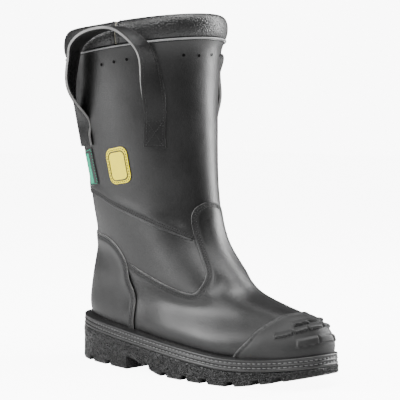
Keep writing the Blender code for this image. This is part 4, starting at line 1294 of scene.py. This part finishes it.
def makeOutsole():
    left, right = soleOutline()
    low, high = left[0, 0], left[-1, 0]
    side = [station - last["heelCentre"] for station in sole["grooves"]]
    toe = high
    centre = [(a + b) / 2 for a, b in zip(side, side[1:] + [toe])]
    centre = [x for x in centre if sole["heelFront"] + sole["archLength"] < x < toe - sole["lugLength"]]
    turns = np.linspace(0.045, math.pi - 0.045, 150)
    stations = list(low + (high - low) * (1 - np.cos(turns)) / 2)
    for middle in side + centre + list(sole["heelGrooves"]):
        for away in (0, sole["grooveHalf"], sole["grooveHalf"] + sole["draft"] / 2,
                     sole["grooveHalf"] + sole["draft"]):
            stations += [middle - away, middle + away]
    stations += [sole["heelFront"] - 0.3, sole["heelFront"], sole["heelFront"] + 0.3]
    fixed = sorted(stations)
    stations = [fixed[0]]
    for x in fixed[1:]:
        if x - stations[-1] > 0.14:
            stations.append(x)
    x = np.array(stations)
    leftY = np.interp(x, left[:, 0], left[:, 1])
    rightY = np.interp(x, right[:, 0], right[:, 1])
    bottom = archHeight(x)
    top = soleTop(x * mm) / mm - sole["weltHeight"] - 0.1
    sideCut = np.maximum(grooveDepth(x, side, sole["treadDepth"]),
                         grooveDepth(x, sole["heelGrooves"], sole["treadDepth"]))
    centreCut = grooveDepth(x, centre, sole["centreDepth"])
    heel = smooth((sole["heelFront"] - x + 1) / 1)
    # places across, as distance from the edge, then as shares of the middle
    across = []
    for distance in (0, sole["chamfer"], 4, 10, 18, 25, 26.4):
        across.append((distance, None))
    for distance in (32.4, 33.8):
        across.append((distance, None))
    half = (leftY - rightY) / 2
    shrink = np.minimum(1, half / 40)
    rows = []
    for way in (1, -1):
        group = []
        for distance, _ in across:
            y = (leftY if way > 0 else rightY) - way * distance * shrink
            reach = 1.0 if distance <= 25 else 0.0
            heelReach = 1.0 if distance <= 10 else 0.0
            cut = sideCut * np.where(heel > 0.5, heelReach, reach)
            if distance > 33:
                cut = np.maximum(cut, centreCut)
            z = bottom + cut
            if distance == 0:
                z = z + sole["chamfer"] * np.where(bottom + cut < top - 2, 1, 0)
            group.append(np.stack([x, y, z], 1))
        rows.append(group)
    middle = np.stack([x, (leftY + rightY) / 2, bottom + centreCut], 1)
    outline = rows[0] + [middle] + rows[1][::-1]
    walls = []
    for way in (-1, 1):
        y = leftY if way > 0 else rightY
        foot = (rows[0] if way > 0 else rows[1])[0][:, 2]
        wall = []
        for share, out in ((0.06, 0.5), (0.2, 0.25), (0.45, 0.0), (0.7, 0.1), (0.86, 0.45), (0.93, 0.3), (1.0, -0.5)):
            wall.append(np.stack([x, y + way * out, foot + (top - foot) * share], 1))
        walls.append(wall)
    outline = outline + walls[0] + walls[1][::-1]
    rings = np.array(outline) * mm
    count, stationsCount = rings.shape[:2]
    obj = newObject("outsoleRubber", rings.reshape(-1, 3), tubeFaces(count, stationsCount), (finish["sole"],))
    held = obj.data.attributes.new("rim", "FLOAT", "POINT")
    rim = np.zeros((count, stationsCount))
    rim[[0, 1, len(rows[0]) * 2 - 1, len(rows[0]) * 2]] = 1
    held.data.foreach_set("value", rim.ravel().astype(np.float32))
    return finishMesh(obj, 34)


outsole = give(makeOutsole(), "boot", "rubber_sole", "outsole")
granules = {"count": 7500, "width": 1.1, "depth": 0.45, "low": 1.2, "high": 13.2, "tilt": 0.32}


def wallGranules():
    # coarse grains standing on the side walls, tilted at random
    chance = np.random.default_rng(7)
    ring = pushedOut(evenRing(0, 2400), sole["out"])
    facing = unit(ring - evenRing(0, 2400))
    spots, ways = [], []
    wall = surfaceOf(outsole)
    for k in chance.integers(0, len(ring), granules["count"]):
        base, out = ring[k], facing[k].copy()
        out[2] = 0
        top = soleTop(base[0]) - granules["high"] * mm
        floorHeight = (archHeight(np.array([base[0] / mm]))[0] + granules["low"]) * mm
        place = Vector((base[0], base[1], chance.uniform(floorHeight, top)))
        tilt = chance.normal(0, granules["tilt"], 3)
        hit = wall.ray_cast(place + Vector(out) * 4 * mm, -Vector(out), 5.2 * mm)[0]
        if hit:
            spots.append(tuple(hit))
            ways.append(unit(out + tilt))
    return spots, ways


grainSpots, grainWays = wallGranules()
soleGranules = studObject("soleGranules", grainSpots, grainWays, finish["sole"], granules["width"], granules["width"],
                          granules["depth"], 5)
give(soleGranules, "boot", "rubber_sole")
print("outsole moulded")


# inside: lining and footbed

def liningRing(level, inset):
    angles = np.linspace(-180, 180, 160, endpoint=False)
    point = lastPoint(np.full(160, float(level)), angles)
    ring = point - lastNormal(np.full(160, float(level)), angles) * inset * mm
    if level == 0:
        ring[:, 2] = soleTop(ring[:, 0]) + 0.35 * mm
    if level == last["top"]:
        ring[:, 2] = collarSeat(ring[:, 0]) + 0.2 * mm
    return ring


liningLevels = np.concatenate([[0, 0.25], np.arange(0.5, 9.9, 0.24), [10]])
liningRings = [liningRing(level, upper["liningInset"]) for level in liningLevels]
liningRings += [liningRing(level, upper["liningInset"] + upper["lining"]) for level in liningLevels[::-1]]
give(ringMesh("liningShell", np.array(liningRings), finish["lining"], 60), "boot", "lining_cloth", "lining")

footbed = {"inset": 10.6, "low": 3.2, "thickness": 5.0, "cup": 1.6, "holePitch": 8.5, "holeWidth": 2.2}


def makeFootbed():
    ring = pushedOut(evenRing(0, 1200), -footbed["inset"]) / mm
    ring = np.roll(ring, -int(np.argmax(ring[:, 0])), 0)
    back = int(np.argmin(ring[:, 0]))
    left, right = ring[:back + 1][::-1], ring[back:]
    turns = np.linspace(0.05, math.pi - 0.05, 90)
    x = left[0, 0] + (left[-1, 0] - left[0, 0]) * (1 - np.cos(turns)) / 2
    leftY = np.interp(x, left[:, 0], left[:, 1])
    rightY = np.interp(x, right[:, 0], right[:, 1])
    base = soleTop(x * mm) / mm + footbed["low"]
    middle, half = (leftY + rightY) / 2, (leftY - rightY) / 2
    rows = []
    for share in np.linspace(-1, 1, 21):
        near = 1 - np.abs(share) ** 8 * 0.12
        cup = footbed["cup"] * (abs(share) ** 3) * smooth((150 - x) / 90) - 0.5 * (abs(share) > 0.98)
        dome = -0.9 * smooth((150 - x) / 60) * (1 - share * share)
        height = base + footbed["thickness"] + cup + dome - 0.9
        rows.append(np.stack([x, middle + half * share * near, height], 1))
    for share in (1, 0.5, -0.5, -1):
        rows.append(np.stack([x, middle + half * share * 0.97, base], 1))
    rings = np.array(rows) * mm
    count, stations = rings.shape[:2]
    obj = newObject("footbedPad", rings.reshape(-1, 3), tubeFaces(count, stations), (finish["footbedCloth"],))
    return finishMesh(obj, 40), x, middle, half


bed, bedX, bedMiddle, bedHalf = makeFootbed()
give(bed, "footbed", "lining_cloth", "footbed")
holes, up = [], []
bedSurface = surfaceOf(bed)
for row in range(8):
    for column in range(-4, 5):
        x = 150 + row * footbed["holePitch"]
        y = np.interp(x, bedX, bedMiddle) + (column + 0.5 * (row % 2)) * footbed["holePitch"]
        hit = bedSurface.ray_cast(Vector((x * mm, y * mm, 0.09)), Vector((0, 0, -1)), 0.08)[0]
        if hit and abs(y - np.interp(x, bedX, bedMiddle)) < np.interp(x, bedX, bedHalf) - 6:
            holes.append(tuple(hit))
            up.append((0, 0.02, 1))
# the footbed holes are not cut: near-black discs stand for the shade inside them
footbedHoleShadeDiscs = studObject("footbedHoleShadeDiscs", holes, up, finish["dark"], footbed["holeWidth"], footbed["holeWidth"], 0.3, 10)
give(footbedHoleShadeDiscs, "footbed", "lining_cloth")
print("lining and footbed in")


# pull straps: each one band from sewn end to sewn end

strap = {
    "width": 23,
    "thickness": 3.4,
    "lift": 0.5,
    "columns": 9,
    "step": 2.2,
    "rowInset": 2.6,
    # sewn ends as (level, angle) at the inner edge and at the outer edge of the band, low then high
    "outerFrontEnd": (((7.32, -40), (7.36, -57)), ((7.60, -38.8), (7.63, -55.3)), ((7.89, -37.4), (7.91, -53.5))),
    "innerFrontEnd": (((7.34, -56.5), (7.36, -73.5)), ((7.62, -55.6), (7.64, -72.7)), ((7.90, -54.7), (7.93, -71.9))),
    "rearEnd": (((8.01, -130.5), (8.01, -107.5)), ((7.72, -131.5), (7.72, -108.7)), ((7.44, -132.5), (7.44, -110))),
    # free part: inner edge's x, distance out from the middle, z above the heel seat, and the
    # direction across the band in degrees
    "outer": ((147.5, 43.5, 238, 50), (145.5, 47, 258, 68), (143, 51, 278, 85), (141, 61.5, 294, 90),
              (128, 73, 308, 92), (110, 79.5, 310.5, 92), (87, 84, 304.5, 94), (66, 82.5, 293, 103),
              (54, 77.5, 279, 110), (41, 71, 248, 122)),
    "inner": ((126.5, 60.5, 238, 26), (121, 65.5, 256, 38), (112, 72.5, 272, 54), (99, 78, 283, 76),
              (84, 82, 286, 88), (68, 81, 283, 97), (55, 78.5, 274, 105), (42, 71.5, 254, 122)),
    "outerBend": (0.048, -0.062, 0.267),
    "innerBend": (0.037, 0.065, 0.267),
}


def strapRows(side, word):
    # rows of points across the band, from the foot of the front end to the foot of the rear end
    columns = strap["columns"]
    share = np.linspace(0, 1, columns)
    rows = []

    def sewn(end):
        for (lowLevel, lowAngle), (highLevel, highAngle) in end:
            level = lowLevel + (highLevel - lowLevel) * share
            angle = -side * (lowAngle + (highAngle - lowAngle) * share)
            base = lastPoint(level, angle)
            up = lastNormal(level, angle)
            rows.append(base + up * ((strap["lift"] + strap["thickness"] / 2) * mm + sway(base))[:, None])

    sewn(strap[word + "FrontEnd"])
    for x, out, z, turn in strap[word]:
        start = np.array([placeX(x), side * out * mm, (last["heelSeat"] + z) * mm])
        turn = math.radians(turn)
        across = np.array([math.cos(turn), -side * math.sin(turn), 0])
        rows.append(start - across * strap["width"] * mm * share[:, None])
    sewn(strap["rearEnd"])
    rows = np.array(rows)
    fine = 400
    curve = splineThrough(rows.reshape(len(rows), -1))
    dense = splineAt(curve, np.linspace(0, len(rows) - 1, fine)).reshape(fine, columns, 3)
    middle = dense[:, columns // 2]
    travelled = np.concatenate([[0], np.cumsum(np.linalg.norm(np.diff(middle, axis=0), axis=1))])
    count = int(travelled[-1] / (strap["step"] * mm))
    at = np.linspace(0, travelled[-1], count)
    lanes = [[np.interp(at, travelled, dense[:, c, i]) for i in range(3)] for c in range(columns)]
    return np.stack(lanes, 0).transpose(2, 0, 1)


def strapFrame(rows, side):
    along = unit(np.gradient(rows, axis=0))
    across = unit(np.gradient(rows, axis=1))
    normal = unit(np.cross(across, along))
    outside = np.array([0.3, side, 0])
    if (normal[2, 4] * outside).sum() < 0:
        normal = -normal
    return across, normal


def makeStrap(word, side):
    rows = strapRows(side, word)
    across, normal = strapFrame(rows, side)
    half = strap["thickness"] / 2 * mm
    rise = np.zeros(strap["columns"])
    rise[[1, -2]] = -0.12 * mm
    outer = rows + normal * (half + rise[None, :, None])
    inner = rows - normal * (half + rise[None, :, None])
    sections = []
    for n in range(len(rows)):
        first, final = rows[n, 0], rows[n, -1]
        a, b = across[n, 0], across[n, -1]
        u, v = normal[n, 0], normal[n, -1]
        section = list(outer[n])
        section += [final + b * 0.35 * mm + v * half * 0.72, final + b * 0.3 * mm + v * half * 0.1,
                    final + b * 0.3 * mm - v * half * 0.1, final + b * 0.35 * mm - v * half * 0.72]
        section += list(inner[n][::-1])
        section += [first - a * 0.35 * mm - u * half * 0.72, first - a * 0.3 * mm - u * half * 0.1,
                    first - a * 0.3 * mm + u * half * 0.1, first - a * 0.35 * mm + u * half * 0.72]
        sections.append(section)
    sections = np.array(sections)
    count, around = sections.shape[:2]
    columns = strap["columns"]
    faces, slots = [tuple(range(around)), tuple(range((count - 1) * around, count * around))], [1, 1]
    for i in range(count - 1):
        for j in range(around):
            k = (j + 1) % around
            faces.append((i * around + j, i * around + k, (i + 1) * around + k, (i + 1) * around + j))
            edgeFace = columns - 1 < j < columns + 3 or j > 2 * columns + 3 and j < around - 1
            slots.append(1 if edgeFace else 0)
    coatings = (finish["strapLeather"], finish["cutEdge"])
    obj = newObject(word + "PullStrap", sections.reshape(-1, 3), faces, coatings, slots)
    held = obj.data.attributes.new("rim", "FLOAT", "POINT")
    rim = np.zeros(around)
    rim[[0, columns - 1, columns + 4, 2 * columns + 3]] = 1
    held.data.foreach_set("value", np.tile(rim, count).astype(np.float32))
    finishMesh(obj, 50)
    inset = strap["rowInset"] / strap["width"] * (columns - 1)

    def along(surface, position):
        k = int(position)
        share = position - k
        return surface[:, k] * (1 - share) + surface[:, min(k + 1, columns - 1)] * share

    raised = 0.05 * mm
    lines = []
    for surface, way in ((outer, 1), (inner, -1)):
        for position in (inset, columns - 1 - inset):
            lines.append(along(surface + normal * way * raised, position)[1:-1])
    top = outer + normal * raised
    tabCount = int(27 / strap["step"])
    for start, stop in ((1, tabCount), (count - 2, count - 1 - tabCount)):
        for a, b in ((inset, columns - 1 - inset), (columns - 1 - inset, inset)):
            steps = np.linspace(0, 1, 24)
            crossed = [along(top, a + (b - a) * s)[int(round(start + (stop - start) * s))] for s in steps]
            lines.append(np.array(crossed))
        for level in (start, stop):
            lines.append(np.array([along(top, p)[level] for p in np.linspace(inset, columns - 1 - inset, 16)]))
    stitched = stitchObject(word + "StrapStitches", lines, finish["thread"], 2.8, 2.0, 0.7)
    for piece in (obj, stitched):
        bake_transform(piece)
    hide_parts(word + "_strap_loop", word + "_strap_front_tab", word + "_strap_rear_tab")
    return obj


makeStrap("outer", -1)
makeStrap("inner", 1)
print("pull straps sewn on")


# finishes of the hidden frame parts

hidden = {
    "midsole": "foam", "shank": "steel", "puncture_plate": "steel", "insole_board": "board",
    "shaft_padding": "foam", "safety_toe_cap": "steel", "heel_counter": "board", "collar_foam": "foam",
}
for name, coating in hidden.items():
    node = frame["nodes"][name]
    node.data.materials.clear()
    node.data.materials.append(finish[coating])


# studio

studio = {
    "cameraPlace": (1.3155, -1.2631, 0.3026),
    "cameraTarget": (0.10695, 0.00364, 0.17725),
    "lens": 152.4,
    "floor": 4.0,
    # name: place, width, height, power, target
    "lights": {
        "sidePanel": ((-0.85, -1.35, 0.8), 0.9, 1.2, 46, (0.05, 0, 0.2)),
        "stripPanel": ((0.55, 1.35, 0.6), 0.4, 1.5, 42, (0.1, 0, 0.2)),
        "topPanel": ((0.45, 0.25, 1.5), 0.7, 0.7, 20, (0.1, 0, 0.1)),
        "overPanel": ((0.6, -0.9, 1.35), 0.7, 0.7, 18, (0.18, 0, 0.05)),
    },
    "sky": 0.12,
    # how bright the background and the floor look straight from the camera, without lighting the boot
    "backdrop": 9,
    "floorGlow": 8.6,
}


def aimed(obj, place, target):
    obj.location = place
    obj.rotation_euler = (Vector(target) - Vector(place)).to_track_quat("-Z", "Y").to_euler()


camera = bpy.data.objects.new("studioCamera", bpy.data.cameras.new("studioCamera"))
bpy.context.scene.collection.objects.link(camera)
camera.data.lens = studio["lens"]
camera.data.sensor_width = 36
aimed(camera, studio["cameraPlace"], studio["cameraTarget"])
bpy.context.scene.camera = camera
for name, (place, width, height, power, target) in studio["lights"].items():
    lamp = bpy.data.lights.new(name, "AREA")
    lamp.shape = "RECTANGLE"
    lamp.size, lamp.size_y, lamp.energy = width, height, power
    panel = bpy.data.objects.new(name, lamp)
    bpy.context.scene.collection.objects.link(panel)
    aimed(panel, place, target)
world = bpy.data.worlds.new("studioWorld")
bpy.context.scene.world = world
world.use_nodes = True
sky = world.node_tree
seen = put(sky, "ShaderNodeLightPath").outputs["Is Camera Ray"]
strength = ramp(sky, seen, 0, 1, studio["sky"], studio["backdrop"])
sky.nodes["Background"].inputs["Color"].default_value = (1, 1, 1, 1)
sky.links.new(strength, sky.nodes["Background"].inputs["Strength"])
floorSize = studio["floor"]
paleFloor = grainyFinish("paleFloor", {
    "scale": 30, "dark": grey(0.8), "light": grey(0.84), "roughness": (0.7, 0.8), "bump": 0.02})
floorShader = paleFloor.node_tree.nodes["Principled BSDF"]
floorShader.inputs["Emission Color"].default_value = (1, 1, 1, 1)
straight = put(paleFloor.node_tree, "ShaderNodeLightPath").outputs["Is Camera Ray"]
glow = ramp(paleFloor.node_tree, straight, 0, 1, 0.0, studio["floorGlow"])
paleFloor.node_tree.links.new(glow, floorShader.inputs["Emission Strength"])
floor = newObject("studioFloor", [(-floorSize, -floorSize, 0), (floorSize, -floorSize, 0), (floorSize, floorSize, 0),
                                  (-floorSize, floorSize, 0)], [(0, 1, 2, 3)], (paleFloor,))
print("studio lit")
